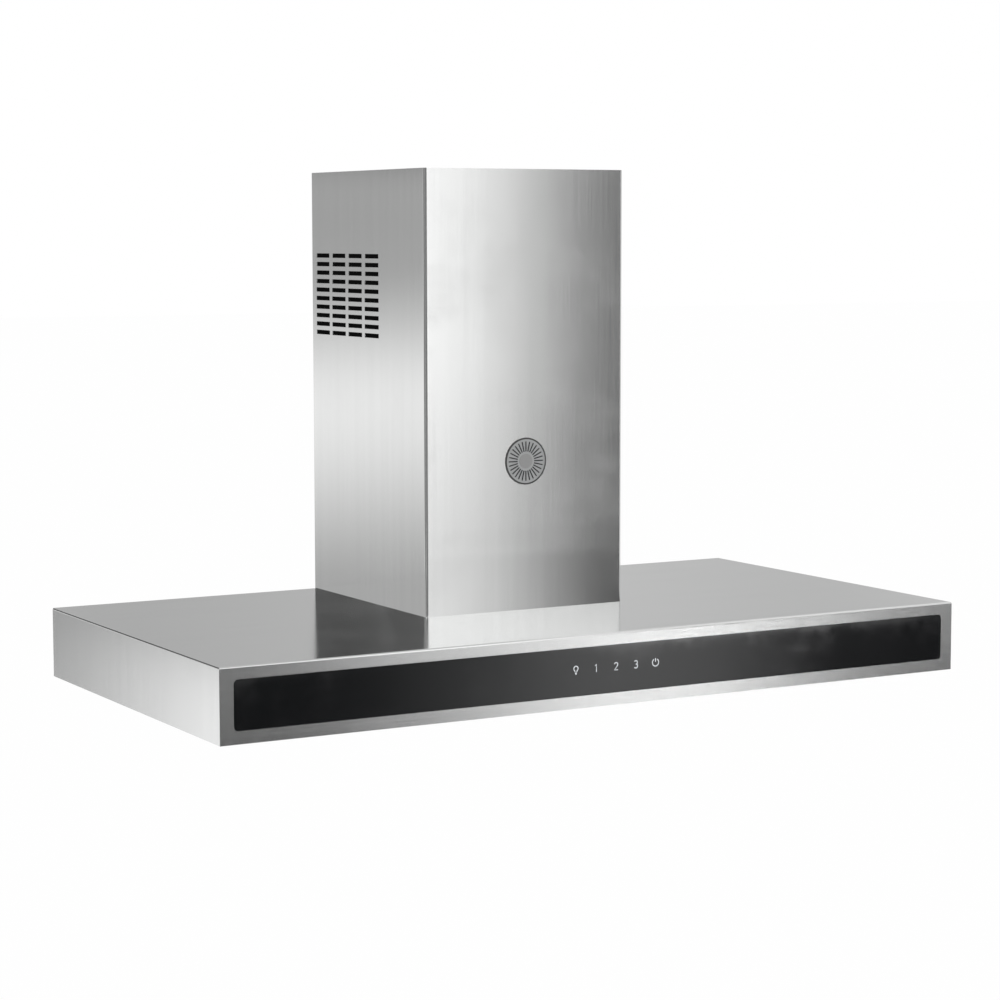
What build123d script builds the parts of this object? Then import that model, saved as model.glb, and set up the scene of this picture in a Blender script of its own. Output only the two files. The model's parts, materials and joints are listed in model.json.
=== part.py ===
"""Wall-mounted T-shaped range hood: a slim steel canopy with a black glass control front, a telescopic
chimney flush with the wall, tilting baffle filters, a centrifugal blower and a flap damper.

Frame: +Z up, the wall is the plane Y = 0, the front faces -Y, and the origin is the middle of the canopy's
lower back edge. All sizes are in millimetres.
"""

import os
from math import cos, radians, sin

from build123d import *

# Canopy
canopy_width = 898.0
canopy_depth = 464.0
canopy_height = 77.0
sheet = 1.0
loose_fit = 0.3
canopy_bend = 2.0
canopy_return = 14.0
window_side_margin = 15.0
window_edge_margin = 13.0
window_corner = 5.0

# Glass control front
glass_lap = 6.0
glass_thickness = 4.0
glass_corner = 8.0
tape_thickness = 0.5
tape_width = 5.0
key_count = 5
key_pitch = 24.6
key_height = 40.5
key_pad_size = 11.0
key_pad_depth = 3.0
board_length = 150.0
board_width = 36.0
board_thickness = 1.6
carrier_wall = 2.0
carrier_depth = 9.0

# Chimney covers
chimney_width = 250.0
chimney_depth = 278.0
chimney_height = 485.0
chimney_bend = 3.0
chimney_return = 14.0
chimney_foot = 9.0
telescope_gap = 0.8
upper_top_drop = 2.0
upper_foot_gap = 0.3
vent_columns = 4
vent_rows = 10
vent_length = 34.5
vent_slot = 5.0
vent_pitch_y = 41.3
vent_pitch_z = 9.8
vent_back_margin = 10.5
vent_top_margin = 92.5

# Chimney wall bracket
bracket_thickness = 1.5
bracket_height = 32.0
bracket_top_drop = 6.0
bracket_ear = 30.0
bracket_slot_spacing = 120.0
bracket_slot_length = 14.0
bracket_slot_radius = 3.25
bracket_flat_half = 104.0
bracket_joggle = 4.5

# Wall hooks
hook_spacing = 340.0
hook_width = 36.0
hook_thickness = 3.0
hook_hole_radius = 4.0
hook_window_width = 44.0
hook_window_bottom = 31.0
hook_window_top = 65.0
hook_tongue = 8.0

# Underside panel and lamps
panel_gap = 1.0
panel_rim = 5.0
lamp_end_margin = 149.0
lamp_front_margin = 57.0
lamp_body_radius = 29.0
lamp_hole_gap = 0.5
lamp_bezel_radius = 35.0
lamp_body_height = 24.0
lamp_lens_radius = 25.0
lamp_lens_thickness = 2.5
lamp_fin_count = 4
lamp_fin_thickness = 2.5
lamp_fin_height = 8.0

# Grease filters
filter_count = 3
filter_end_margin = 41.0
filter_front_margin = 104.0
filter_spacing = 12.0
filter_height = 18.0
filter_gap = 1.5
filter_back = 40.0
filter_sheet = 1.0
filter_lip = 9.0
filter_rail = 25.0
baffle_sheet = 0.8
baffle_count = 6
baffle_end_margin = 7.0
baffle_slot = 11.0
baffle_cap_lap = 6.9
baffle_leg = 8.0
baffle_end_gap = 0.2
hinge_tab_width = 20.0
hinge_tab_reach = 9.0
hinge_tab_inset = 50.0
hinge_tab_gap = 0.3

# Filter latch
latch_width = 50.0
latch_length = 12.0
latch_height = 7.0
latch_gap = 0.3
latch_travel = 6.0
latch_front_gap = 2.0
tongue_width = 30.0
tongue_thickness = 3.0
tongue_reach = 1.2
finger_width = 40.0
finger_rib = 4.0
finger_slot_side_gap = 1.0
finger_slot_margin = 3.0
spring_sheet = 0.5
spring_height = 5.0

# Blower box and duct collar
box_side_gap = 12.0
box_back = 10.0
box_front_gap = 10.0
box_flange = 10.0
box_cover_lap = 12.0
duct_radius = 74.5
duct_wall = 2.0
duct_length = 53.0
duct_flange_radius = 90.0
duct_flange_thickness = 2.0
duct_foot = 1.0
gland_radius = 8.0
gland_bore = 3.8
gland_nut_radius = 11.0
gland_nut_height = 6.0
gland_inner_reach = 8.0
gland_length = 24.0
gland_x = 88.0
gland_back = 34.0

# Flap damper
damper_height = 13.0
damper_lip = 4.5
damper_lip_thickness = 2.0
flap_thickness = 1.2
flap_gap = 0.7
flap_seat_gap = 0.3
axle_radius = 2.0
axle_gap = 0.05
knuckle_radius = 3.4
knuckle_length = 19.0
knuckle_pitch = 20.0
flap_inner_edge = 4.2

# Scroll, impeller and motor
scroll_width = 120.0
scroll_wall = 1.5
scroll_air_gap = 16.0
scroll_step = 12.0
scroll_nose = 2.0
scroll_neck = 41.0
scroll_floor_gap = 12.0
inlet_lip = 3.5
inlet_flare = 3.0
outlet_radius = 58.0
outlet_height = 47.0
impeller_gap = 9.0
inlet_overlap = 4.0
impeller_width = 108.0
impeller_disc = 2.0
blade_count = 24
blade_depth = 15.0
blade_thickness = 1.0
blade_bow = 1.2
blade_lead = 4.0
impeller_ring = 2.0
hub_radius = 12.0
hub_length = 11.0
hub_gap = 0.02
shaft_radius = 4.0
shaft_gap = 0.05
motor_air_gap = 28.0
motor_length = 72.0
motor_chamfer = 7.0
motor_seam_lip = 2.5
motor_seam_width = 4.0
motor_boss_radius = 10.0
motor_boss_length = 5.0
motor_hub_gap = 2.0
motor_plate_radius = 34.0
bracket_arm_width = 14.0
bracket_arm_gap = 10.0
bracket_arm_thickness = 2.0
bush_radius = 6.0
bush_length = 4.0

# Electronics
electronics_length = 200.0
electronics_depth = 70.0
electronics_height = 34.0
electronics_wall = 2.0
electronics_left = 110.0
electronics_front = 20.0
capacitor_radius = 9.0
capacitor_length = 60.0
capacitor_crimp = 1.5
terminal_length = 48.0
terminal_width = 20.0
terminal_height = 16.0

# Derived sizes
filter_pitch = (canopy_width - 2 * filter_end_margin) / filter_count
filter_width = filter_pitch - filter_spacing
filter_depth = canopy_depth - filter_front_margin - filter_back
baffle_pitch = (filter_width - 2 * baffle_end_margin) / baffle_count
baffle_width = baffle_pitch - baffle_slot
baffle_cap_width = baffle_slot + 2 * baffle_cap_lap
hinge_tab_offset = filter_width / 2 - hinge_tab_inset
lamp_spacing = canopy_width - 2 * lamp_end_margin
box_width = chimney_width - 2 * box_side_gap
box_depth = chimney_depth - box_back - box_front_gap
scroll_start_radius = (box_depth - 2 * sheet - 2 * scroll_air_gap - 3 * scroll_step) / 2
scroll_neck_height = scroll_start_radius + scroll_neck
blower_axis_height = scroll_start_radius + scroll_step + scroll_floor_gap
blower_axis_forward = box_depth / 2 - scroll_step / 2
box_height = blower_axis_height + scroll_neck_height + outlet_height
impeller_radius = scroll_start_radius - impeller_gap
blade_inner_radius = impeller_radius - blade_depth
scroll_inlet_radius = blade_inner_radius - inlet_overlap
bracket_arm_reach = scroll_start_radius - bracket_arm_gap
motor_radius = blade_inner_radius - motor_air_gap

# Derived places
canopy_top = canopy_height
chimney_top = canopy_top + chimney_height
window_width = canopy_width - 2 * window_side_margin
window_height = canopy_height - 2 * window_edge_margin
window_middle = canopy_height / 2
front_inner = -canopy_depth + sheet
panel_bottom = sheet
panel_top = panel_bottom + sheet
filter_front = -filter_back - filter_depth
filter_middle = -filter_back - filter_depth / 2
filter_top = panel_bottom + filter_height
filter_places = [
    ("left", -filter_pitch),
    ("centre", 0.0),
    ("right", filter_pitch),
]
rail_back = filter_front + filter_rail
rail_wall_front = rail_back - filter_sheet
pocket_front = filter_front + filter_sheet
latch_front = pocket_front + latch_front_gap
latch_back = latch_front + latch_length
latch_floor = panel_bottom + filter_sheet + latch_gap
lamp_y = -canopy_depth + lamp_front_margin
box_front = -box_back - box_depth
box_middle = -box_back - box_depth / 2
box_top = canopy_top + box_height
duct_y = -chimney_depth / 2
duct_base = box_top + duct_flange_thickness
duct_top = box_top + duct_length
blower_y = -blower_axis_forward - box_back
blower_z = canopy_top + blower_axis_height
upper_width = chimney_width - 2 * sheet - 2 * telescope_gap
upper_back = -sheet - telescope_gap
upper_depth = chimney_depth - sheet - telescope_gap + upper_back
upper_bottom = canopy_top + sheet + upper_foot_gap
upper_top = chimney_top - upper_top_drop
bracket_top = upper_top - bracket_top_drop
hook_places = [("left", -hook_spacing / 2), ("right", hook_spacing / 2)]
hook_screw_height = (hook_window_bottom + hook_window_top) / 2

finished = []


def keep(builder, name):
    """Label a finished piece and keep it for export."""
    builder.part.label = name
    finished.append(builder.part)


# Canopy shell: folded top, ends, back and glass frame, with returns along the lower edge
with BuildPart() as canopy_shell:
    with BuildSketch(Plane.XY):
        with Locations((0, -canopy_depth / 2)):
            Rectangle(canopy_width, canopy_depth)
    extrude(amount=canopy_height)
    top_edges = canopy_shell.faces().sort_by(Axis.Z)[-1].edges()
    fillet(top_edges.sort_by(Axis.Y)[:-1], canopy_bend)
    offset(amount=-sheet, openings=canopy_shell.faces().sort_by(Axis.Z)[0])
    with BuildSketch(Plane.XY):
        with Locations((0, -canopy_depth / 2)):
            Rectangle(canopy_width - sheet, canopy_depth - sheet)
            Rectangle(canopy_width - 2 * canopy_return, canopy_depth - 2 * canopy_return, mode=Mode.SUBTRACT)
    extrude(amount=sheet)
    with BuildSketch(Plane.XZ.offset(canopy_depth)):
        with Locations((0, window_middle)):
            RectangleRounded(window_width, window_height, window_corner)
    extrude(amount=-2 * sheet, mode=Mode.SUBTRACT)
    with BuildSketch(Plane.XY.offset(canopy_top)):
        with Locations((0, box_middle)):
            Rectangle(box_width - 2 * box_flange, box_depth - 2 * box_flange)
    extrude(amount=-2 * sheet, mode=Mode.SUBTRACT)
    with BuildSketch(Plane.XZ):
        with Locations(*[(x, hook_screw_height) for _, x in hook_places]):
            Rectangle(hook_window_width, hook_window_top - hook_window_bottom)
    extrude(amount=2 * sheet, mode=Mode.SUBTRACT)
keep(canopy_shell, "canopy_shell")


# Black glass strip behind the front window, on a frame of foam tape
glass_width = window_width + 2 * glass_lap
glass_height = window_height + 2 * glass_lap
with BuildPart() as glass_tape:
    with BuildSketch(Plane.XZ.offset(-front_inner)):
        with Locations((0, window_middle)):
            RectangleRounded(glass_width, glass_height, glass_corner)
            RectangleRounded(
                glass_width - 2 * tape_width,
                glass_height - 2 * tape_width,
                glass_corner - tape_width,
                mode=Mode.SUBTRACT,
            )
    extrude(amount=-tape_thickness)
keep(glass_tape, "glass_tape")

glass_front = front_inner + tape_thickness
glass_rear = glass_front + glass_thickness
with BuildPart() as front_glass:
    with BuildSketch(Plane.XZ.offset(-glass_front)):
        with Locations((0, window_middle)):
            RectangleRounded(glass_width, glass_height, glass_corner)
    extrude(amount=-glass_thickness)
keep(front_glass, "front_glass")


# Touch keypad: tray stuck to the back of the glass, board and one sensor pad behind each symbol
with BuildPart() as touch_carrier:
    with BuildSketch(Plane.XZ.offset(-glass_rear)):
        with Locations((0, key_height)):
            RectangleRounded(board_length + 2 * carrier_wall, board_width + 2 * carrier_wall, carrier_wall)
    extrude(amount=-carrier_depth)
    with BuildSketch(Plane.XZ.offset(-glass_rear)):
        with Locations((0, key_height)):
            Rectangle(board_length, board_width)
    extrude(amount=-(carrier_depth - carrier_wall), mode=Mode.SUBTRACT)
keep(touch_carrier, "touch_carrier")

with BuildPart() as touch_pads:
    with BuildSketch(Plane.XZ.offset(-glass_rear)):
        with Locations((0, key_height)):
            with GridLocations(key_pitch, 1, key_count, 1):
                Rectangle(key_pad_size, key_pad_size)
    extrude(amount=-key_pad_depth)
keep(touch_pads, "touch_pads")

board_front = glass_rear + key_pad_depth
with BuildPart() as touch_board:
    with BuildSketch(Plane.XZ.offset(-board_front)):
        with Locations((0, key_height)):
            Rectangle(board_length - carrier_wall, board_width - carrier_wall)
    extrude(amount=-board_thickness)
keep(touch_board, "touch_board")


def chimney_section(width, depth, back, open_half):
    """Three-sided sheet section with narrow returns along the wall, seen from above."""
    with BuildSketch(mode=Mode.PRIVATE) as section:
        with Locations((0, back - depth / 2)):
            Rectangle(width, depth)
        fillet(section.vertices().group_by(Axis.Y)[0], chimney_bend)
        offset(amount=-sheet, mode=Mode.SUBTRACT)
        with Locations((0, back)):
            Rectangle(2 * open_half, 4 * sheet, mode=Mode.SUBTRACT)
    return section.sketch


def vent_grid(columns_per_slot):
    """Slot pattern of the side vents, seen from the left end, with slots one or more columns long."""
    middle_y = -vent_back_margin - vent_length / 2 - (vent_columns - 1) * vent_pitch_y / 2
    middle_z = chimney_top - vent_top_margin - vent_slot / 2 - (vent_rows - 1) * vent_pitch_z / 2
    slot_length = vent_length + (columns_per_slot - 1) * vent_pitch_y
    slot_pitch = columns_per_slot * vent_pitch_y
    with BuildSketch(Plane.YZ.offset(-chimney_width), mode=Mode.PRIVATE) as grid:
        with Locations((middle_y, middle_z)):
            with GridLocations(slot_pitch, vent_pitch_z, vent_columns // columns_per_slot, vent_rows):
                Rectangle(slot_length, vent_slot)
    return grid.sketch


# Outer chimney cover, standing on a folded foot on the canopy
return_inner_half = chimney_width / 2 - chimney_return
with BuildPart() as chimney_cover_lower:
    with BuildSketch(Plane.XY.offset(canopy_top)):
        add(chimney_section(chimney_width, chimney_depth, 0, return_inner_half))
    extrude(amount=chimney_height)
    with BuildSketch(Plane.XY.offset(canopy_top)):
        with Locations((0, -chimney_depth / 2)):
            Rectangle(chimney_width - sheet, chimney_depth - sheet)
        with Locations((0, -chimney_depth / 2 + chimney_foot)):
            Rectangle(chimney_width - 2 * chimney_foot, chimney_depth, mode=Mode.SUBTRACT)
    extrude(amount=sheet)
    extrude(vent_grid(1), amount=2 * chimney_width, mode=Mode.SUBTRACT)
keep(chimney_cover_lower, "chimney_cover_lower")

# Inner chimney cover, pushed down inside the outer one, with longer slots behind the outer ones
with BuildPart() as chimney_cover_upper:
    with BuildSketch(Plane.XY.offset(upper_bottom)):
        add(chimney_section(upper_width, upper_depth, upper_back, return_inner_half))
    extrude(amount=upper_top - upper_bottom)
    extrude(vent_grid(2), amount=2 * chimney_width, mode=Mode.SUBTRACT)
keep(chimney_cover_upper, "chimney_cover_upper")


# Wall bracket for the top of the chimney: a flat wall strip stepped forward to two ears
ear_outer = upper_width / 2 - sheet
with BuildPart() as chimney_bracket:
    with BuildSketch(Plane.XY.offset(bracket_top - bracket_height)):
        with Locations((0, -bracket_thickness / 2)):
            Rectangle(2 * bracket_flat_half, bracket_thickness)
        for side in (-1, 1):
            step_x = side * (bracket_flat_half - bracket_thickness / 2)
            with Locations((step_x, -(bracket_joggle + bracket_thickness) / 2)):
                Rectangle(bracket_thickness, bracket_joggle + bracket_thickness)
            step_mid = side * (bracket_flat_half - bracket_thickness + ear_outer) / 2
            with Locations((step_mid, -bracket_joggle - bracket_thickness / 2)):
                Rectangle(ear_outer - bracket_flat_half + bracket_thickness, bracket_thickness)
            with Locations((side * (ear_outer - bracket_thickness / 2), -bracket_joggle - bracket_ear / 2)):
                Rectangle(bracket_thickness, bracket_ear)
    extrude(amount=bracket_height)
    with BuildSketch(Plane.XZ):
        with Locations((0, bracket_top - bracket_height / 2)):
            with GridLocations(bracket_slot_spacing, 1, 2, 1):
                SlotOverall(bracket_slot_length, 2 * bracket_slot_radius)
    extrude(amount=2 * bracket_thickness, mode=Mode.SUBTRACT)
keep(chimney_bracket, "chimney_bracket")

# Stepped hooks on the wall that carry the canopy by the windows in its back
for hook_name, hook_x in hook_places:
    with BuildPart() as wall_hook:
        with BuildSketch(Plane.XZ):
            with Locations((hook_x, (hook_window_bottom + hook_window_top) / 2)):
                Rectangle(hook_width, hook_window_top - hook_window_bottom - 2 * loose_fit)
        extrude(amount=hook_thickness)
        with BuildSketch(Plane.XZ.offset(sheet + loose_fit)):
            with Locations((hook_x, hook_window_top)):
                Rectangle(hook_width, 2 * hook_tongue)
        extrude(amount=hook_thickness)
        with BuildSketch(Plane.XZ):
            with Locations((hook_x, hook_screw_height)):
                Circle(hook_hole_radius)
        extrude(amount=4 * hook_thickness, mode=Mode.SUBTRACT)
    keep(wall_hook, f"wall_hook_{hook_name}")


# Underside panel: rimmed tray with an aperture for each filter and a hole for each lamp
panel_width = canopy_width - 2 * sheet - 2 * panel_gap
panel_depth = canopy_depth - 2 * sheet - 2 * panel_gap
with BuildPart() as underside_panel:
    with BuildSketch(Plane.XY.offset(panel_bottom)):
        with Locations((0, -canopy_depth / 2)):
            Rectangle(panel_width, panel_depth)
    extrude(amount=sheet + panel_rim)
    with BuildSketch(Plane.XY.offset(panel_top)):
        with Locations((0, -canopy_depth / 2)):
            Rectangle(panel_width - 2 * sheet, panel_depth - 2 * sheet)
    extrude(amount=panel_rim, mode=Mode.SUBTRACT)
    with BuildSketch(Plane.XY.offset(panel_bottom)):
        with Locations((0, filter_middle)):
            with GridLocations(filter_pitch, 1, filter_count, 1):
                Rectangle(filter_width + 2 * filter_gap, filter_depth + 2 * filter_gap)
        with Locations((0, lamp_y)):
            with GridLocations(lamp_spacing, 1, 2, 1):
                Circle(lamp_body_radius + lamp_hole_gap)
    extrude(amount=sheet, mode=Mode.SUBTRACT)
keep(underside_panel, "underside_panel")

# Lamps: finned housing with a flat bezel under the panel, and a frosted lens set in the bezel
for lamp_name, lamp_x in (("left", -lamp_spacing / 2), ("right", lamp_spacing / 2)):
    with BuildPart() as lamp_housing:
        with BuildSketch(Plane.XY):
            with Locations((lamp_x, lamp_y)):
                Circle(lamp_bezel_radius)
        extrude(amount=panel_bottom)
        with BuildSketch(Plane.XY):
            with Locations((lamp_x, lamp_y)):
                Circle(lamp_body_radius)
        extrude(amount=lamp_body_height)
        with BuildSketch(Plane.XY.offset(lamp_body_height)):
            with Locations((lamp_x, lamp_y)):
                with GridLocations(2 * lamp_body_radius / (lamp_fin_count + 2), 1, lamp_fin_count, 1):
                    Rectangle(lamp_fin_thickness, lamp_body_radius)
        extrude(amount=lamp_fin_height)
        with BuildSketch(Plane.XY):
            with Locations((lamp_x, lamp_y)):
                Circle(lamp_lens_radius)
        extrude(amount=lamp_lens_thickness, mode=Mode.SUBTRACT)
    keep(lamp_housing, f"lamp_housing_{lamp_name}")
    with BuildPart() as lamp_lens:
        with BuildSketch(Plane.XY.offset(loose_fit)):
            with Locations((lamp_x, lamp_y)):
                Circle(lamp_lens_radius - loose_fit)
        extrude(amount=lamp_lens_thickness - loose_fit)
    keep(lamp_lens, f"lamp_lens_{lamp_name}")


def filter_frame(x):
    """Folded frame: channels on three sides, a hollow latch rail in front, and two hinge tabs behind."""
    inner_width = filter_width - 2 * filter_sheet
    cavity_depth = filter_depth - filter_rail - filter_sheet
    lip_width = filter_width - 2 * filter_lip
    lip_depth = filter_depth - filter_rail - 2 * filter_lip
    lip_middle = -filter_back - filter_lip - lip_depth / 2
    floor = panel_bottom + filter_sheet
    with BuildPart() as frame:
        with BuildSketch(Plane.XY.offset(panel_bottom)):
            with Locations((x, filter_middle)):
                Rectangle(filter_width, filter_depth)
        extrude(amount=filter_height)
        with BuildSketch(Plane.XY.offset(floor)):
            with Locations((x, rail_back + cavity_depth / 2)):
                Rectangle(inner_width, cavity_depth)
            with Locations((x, (pocket_front + rail_wall_front) / 2)):
                Rectangle(inner_width, rail_wall_front - pocket_front)
        extrude(amount=filter_height - 2 * filter_sheet, mode=Mode.SUBTRACT)
        with BuildSketch(Plane.XY.offset(panel_bottom)):
            with Locations((x, lip_middle)):
                Rectangle(lip_width, lip_depth)
        extrude(amount=filter_height, mode=Mode.SUBTRACT)
        with BuildSketch(Plane.XY.offset(panel_bottom)):
            with Locations((x, (pocket_front + rail_wall_front) / 2)):
                Rectangle(
                    finger_width + 2 * finger_slot_side_gap,
                    rail_wall_front - pocket_front - 2 * finger_slot_margin,
                )
        extrude(amount=filter_sheet, mode=Mode.SUBTRACT)
        with BuildSketch(Plane.XZ.offset(-filter_front)):
            with Locations((x, latch_floor + latch_gap + tongue_thickness / 2)):
                Rectangle(tongue_width + 2 * latch_gap, tongue_thickness + 2 * latch_gap)
        extrude(amount=-filter_sheet, mode=Mode.SUBTRACT)
        with BuildSketch(Plane.XY.offset(panel_top + hinge_tab_gap)):
            with Locations((x, -filter_back + hinge_tab_reach / 2 - filter_sheet / 2)):
                with GridLocations(2 * hinge_tab_offset, 1, 2, 1):
                    Rectangle(hinge_tab_width, hinge_tab_reach + filter_sheet)
        extrude(amount=filter_sheet)
    return frame


def filter_baffles(x):
    """Drip channels below and inverted channels above, interleaved so that air has to turn twice."""
    front = rail_back + baffle_end_gap
    length = -filter_back - filter_sheet - baffle_end_gap - front
    low = panel_bottom + filter_sheet
    high = filter_top - filter_sheet
    with BuildPart() as baffles:
        with BuildSketch(Plane.XZ.offset(-front)):
            with Locations((x, low + baffle_leg / 2)):
                with GridLocations(baffle_pitch, 1, baffle_count, 1):
                    Rectangle(baffle_width, baffle_leg)
            with Locations((x, low + baffle_sheet + baffle_leg / 2)):
                with GridLocations(baffle_pitch, 1, baffle_count, 1):
                    Rectangle(baffle_width - 2 * baffle_sheet, baffle_leg, mode=Mode.SUBTRACT)
            with Locations((x, high - baffle_leg / 2)):
                with GridLocations(baffle_pitch, 1, baffle_count - 1, 1):
                    Rectangle(baffle_cap_width, baffle_leg)
            with Locations((x, high - baffle_sheet - baffle_leg / 2)):
                with GridLocations(baffle_pitch, 1, baffle_count - 1, 1):
                    Rectangle(baffle_cap_width - 2 * baffle_sheet, baffle_leg, mode=Mode.SUBTRACT)
        extrude(amount=-length)
    return baffles


def filter_latch(x):
    """Sliding latch in the filter's rail: block, tongue through the front wall, and a finger rib below."""
    with BuildPart() as latch:
        with BuildSketch(Plane.XY.offset(latch_floor)):
            with Locations((x, (latch_front + latch_back) / 2)):
                Rectangle(latch_width, latch_length)
        extrude(amount=latch_height)
        with BuildSketch(Plane.XZ.offset(-latch_front)):
            with Locations((x, latch_floor + latch_gap + tongue_thickness / 2)):
                Rectangle(tongue_width, tongue_thickness)
        extrude(amount=latch_front - filter_front + tongue_reach)
        nose = latch.edges().filter_by(Axis.X).group_by(Axis.Y)[0].sort_by(Axis.Z)[-1]
        chamfer(nose, tongue_reach - latch_gap)
        with BuildSketch(Plane.XY.offset(latch_floor)):
            with Locations((x, (latch_front + latch_back) / 2)):
                Rectangle(finger_width, finger_rib)
        extrude(amount=panel_bottom + latch_gap - latch_floor)
    return latch


def latch_spring(x):
    """Folded leaf between the latch and the back of its pocket."""
    half = latch_width / 2 - 2 * filter_sheet
    seat_front = latch_back + latch_gap
    seat_back = rail_wall_front - latch_gap
    with BuildPart() as leaf:
        with BuildSketch(Plane.XY.offset(latch_floor + filter_sheet)):
            with BuildLine():
                Polyline(
                    (x - half, seat_back),
                    (x, seat_front),
                    (x + half, seat_back),
                    (x + half - 2 * spring_sheet, seat_back),
                    (x, seat_front + spring_sheet),
                    (x - half + 2 * spring_sheet, seat_back),
                    close=True,
                )
            make_face()
        extrude(amount=spring_height)
    return leaf


for filter_name, filter_x in filter_places:
    keep(filter_frame(filter_x), f"filter_frame_{filter_name}")
    keep(filter_baffles(filter_x), f"filter_baffles_{filter_name}")
    keep(filter_latch(filter_x), f"filter_latch_{filter_name}")
    keep(latch_spring(filter_x), f"latch_spring_{filter_name}")


# Blower box over the canopy's air opening, open in front behind a separate cover
with BuildPart() as blower_box:
    with BuildSketch(Plane.XY.offset(canopy_top)):
        with Locations((0, box_middle)):
            Rectangle(box_width, box_depth)
    extrude(amount=box_height)
    offset(amount=-sheet, openings=blower_box.faces().sort_by(Axis.Z)[0])
    with BuildSketch(Plane.XY.offset(canopy_top)):
        with Locations((0, box_middle)):
            Rectangle(box_width - sheet, box_depth - sheet)
            Rectangle(box_width - 2 * box_flange, box_depth - 2 * box_flange, mode=Mode.SUBTRACT)
    extrude(amount=sheet)
    with BuildSketch(Plane.XZ.offset(-box_front)):
        with Locations((0, canopy_top + box_height / 2)):
            Rectangle(box_width - 2 * box_cover_lap, box_height - 2 * box_cover_lap)
    extrude(amount=-2 * sheet, mode=Mode.SUBTRACT)
    with BuildSketch(Plane.XY.offset(box_top)):
        with Locations((0, duct_y)):
            Circle(duct_radius - duct_wall)
        with Locations((gland_x, -gland_back)):
            Circle(gland_radius)
    extrude(amount=-2 * sheet, mode=Mode.SUBTRACT)
keep(blower_box, "blower_box")

with BuildPart() as blower_box_cover:
    with BuildSketch(Plane.XZ.offset(-box_front)):
        with Locations((0, canopy_top + box_height / 2)):
            Rectangle(box_width - 2 * sheet, box_height - 2 * sheet)
    extrude(amount=sheet)
    with BuildSketch(Plane.XZ.offset(-box_front + sheet)):
        with Locations((0, canopy_top + box_height / 2)):
            Rectangle(box_width - 4 * box_cover_lap, box_height - 4 * box_cover_lap)
    extrude(amount=sheet, taper=45)
keep(blower_box_cover, "blower_box_cover")

# Cable gland in the box's roof: hexagon nut on a round body with the cord's bore
with BuildPart() as cable_gland:
    with BuildSketch(Plane.XY.offset(box_top)):
        with Locations((gland_x, -gland_back)):
            RegularPolygon(gland_nut_radius, 6)
    extrude(amount=gland_nut_height)
    with BuildSketch(Plane.XY.offset(box_top - gland_inner_reach)):
        with Locations((gland_x, -gland_back)):
            Circle(gland_radius - loose_fit)
    extrude(amount=gland_length)
    with BuildSketch(Plane.XY.offset(box_top - gland_inner_reach)):
        with Locations((gland_x, -gland_back)):
            Circle(gland_bore)
    extrude(amount=gland_length, mode=Mode.SUBTRACT)
keep(cable_gland, "cable_gland")


def scroll_outline(grow):
    """Scroll in the YZ plane: three quarter arcs of growing radius, then a straight neck up to the outlet."""
    step = scroll_step
    first = scroll_start_radius + grow
    tongue = (blower_y + step, blower_z + first)
    back = (blower_y + step + first, blower_z)
    bottom = (blower_y, blower_z - first - step)
    front = (blower_y - first - 2 * step, blower_z + step)
    neck = blower_z + scroll_neck_height
    cheek = tongue[0] + scroll_nose + grow
    with BuildSketch(Plane.YZ, mode=Mode.PRIVATE) as outline:
        with BuildLine():
            RadiusArc(tongue, back, first)
            RadiusArc(back, bottom, first + step)
            RadiusArc(bottom, front, first + 2 * step)
            Polyline(front, (front[0], neck), (cheek, neck), (cheek, tongue[1]), tongue)
        make_face()
    return outline.sketch


# Scroll halves, parted on the middle plane, each with a flared air inlet
for half_name, side in (("left", -1), ("right", 1)):
    with BuildPart() as scroll_half:
        extrude(scroll_outline(scroll_wall), amount=side * scroll_width / 2)
        extrude(scroll_outline(0), amount=side * (scroll_width / 2 - scroll_wall), mode=Mode.SUBTRACT)
        with BuildSketch(Plane.YZ.offset(side * scroll_width / 2)):
            with Locations((blower_y, blower_z)):
                Circle(scroll_inlet_radius + inlet_lip)
        extrude(amount=side * inlet_lip)
        with BuildSketch(Plane.YZ.offset(side * (scroll_width / 2 + inlet_lip))):
            with Locations((blower_y, blower_z)):
                Circle(scroll_inlet_radius)
        extrude(amount=-side * (inlet_lip + 2 * scroll_wall), mode=Mode.SUBTRACT)
        rim = scroll_half.faces().sort_by(Axis.X)[0 if side < 0 else -1]
        chamfer(rim.edges().sort_by(SortBy.RADIUS)[0], inlet_flare)
    keep(scroll_half, f"scroll_{half_name}")

# Outlet transition: a plate over the scroll's square neck and a slanted round tube up to the box's outlet
neck_top = blower_z + scroll_neck_height
neck_front = blower_y - scroll_start_radius - 2 * scroll_step
neck_back = blower_y + scroll_step + scroll_nose
neck_y = (neck_front + neck_back) / 2
outlet_rise = (0, duct_y - neck_y, box_top - sheet - neck_top)
with BuildPart() as outlet_transition:
    with BuildSketch(Plane.XY.offset(neck_top)):
        with Locations((0, neck_y)):
            Rectangle(scroll_width, neck_back - neck_front + 2 * scroll_wall)
    extrude(amount=scroll_wall)
    with BuildSketch(Plane.XY.offset(neck_top)):
        with Locations((0, neck_y)):
            Circle(outlet_radius)
    extrude(amount=Vector(outlet_rise).length, dir=outlet_rise)
    with BuildSketch(Plane.XY.offset(box_top - sheet)):
        with Locations((0, duct_y)):
            Circle(duct_radius)
    extrude(amount=-scroll_wall)
    with BuildSketch(Plane.XY.offset(neck_top)):
        with Locations((0, neck_y)):
            Circle(outlet_radius - scroll_wall)
    extrude(amount=Vector(outlet_rise).length, dir=outlet_rise, mode=Mode.SUBTRACT)
keep(outlet_transition, "outlet_transition")


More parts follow.
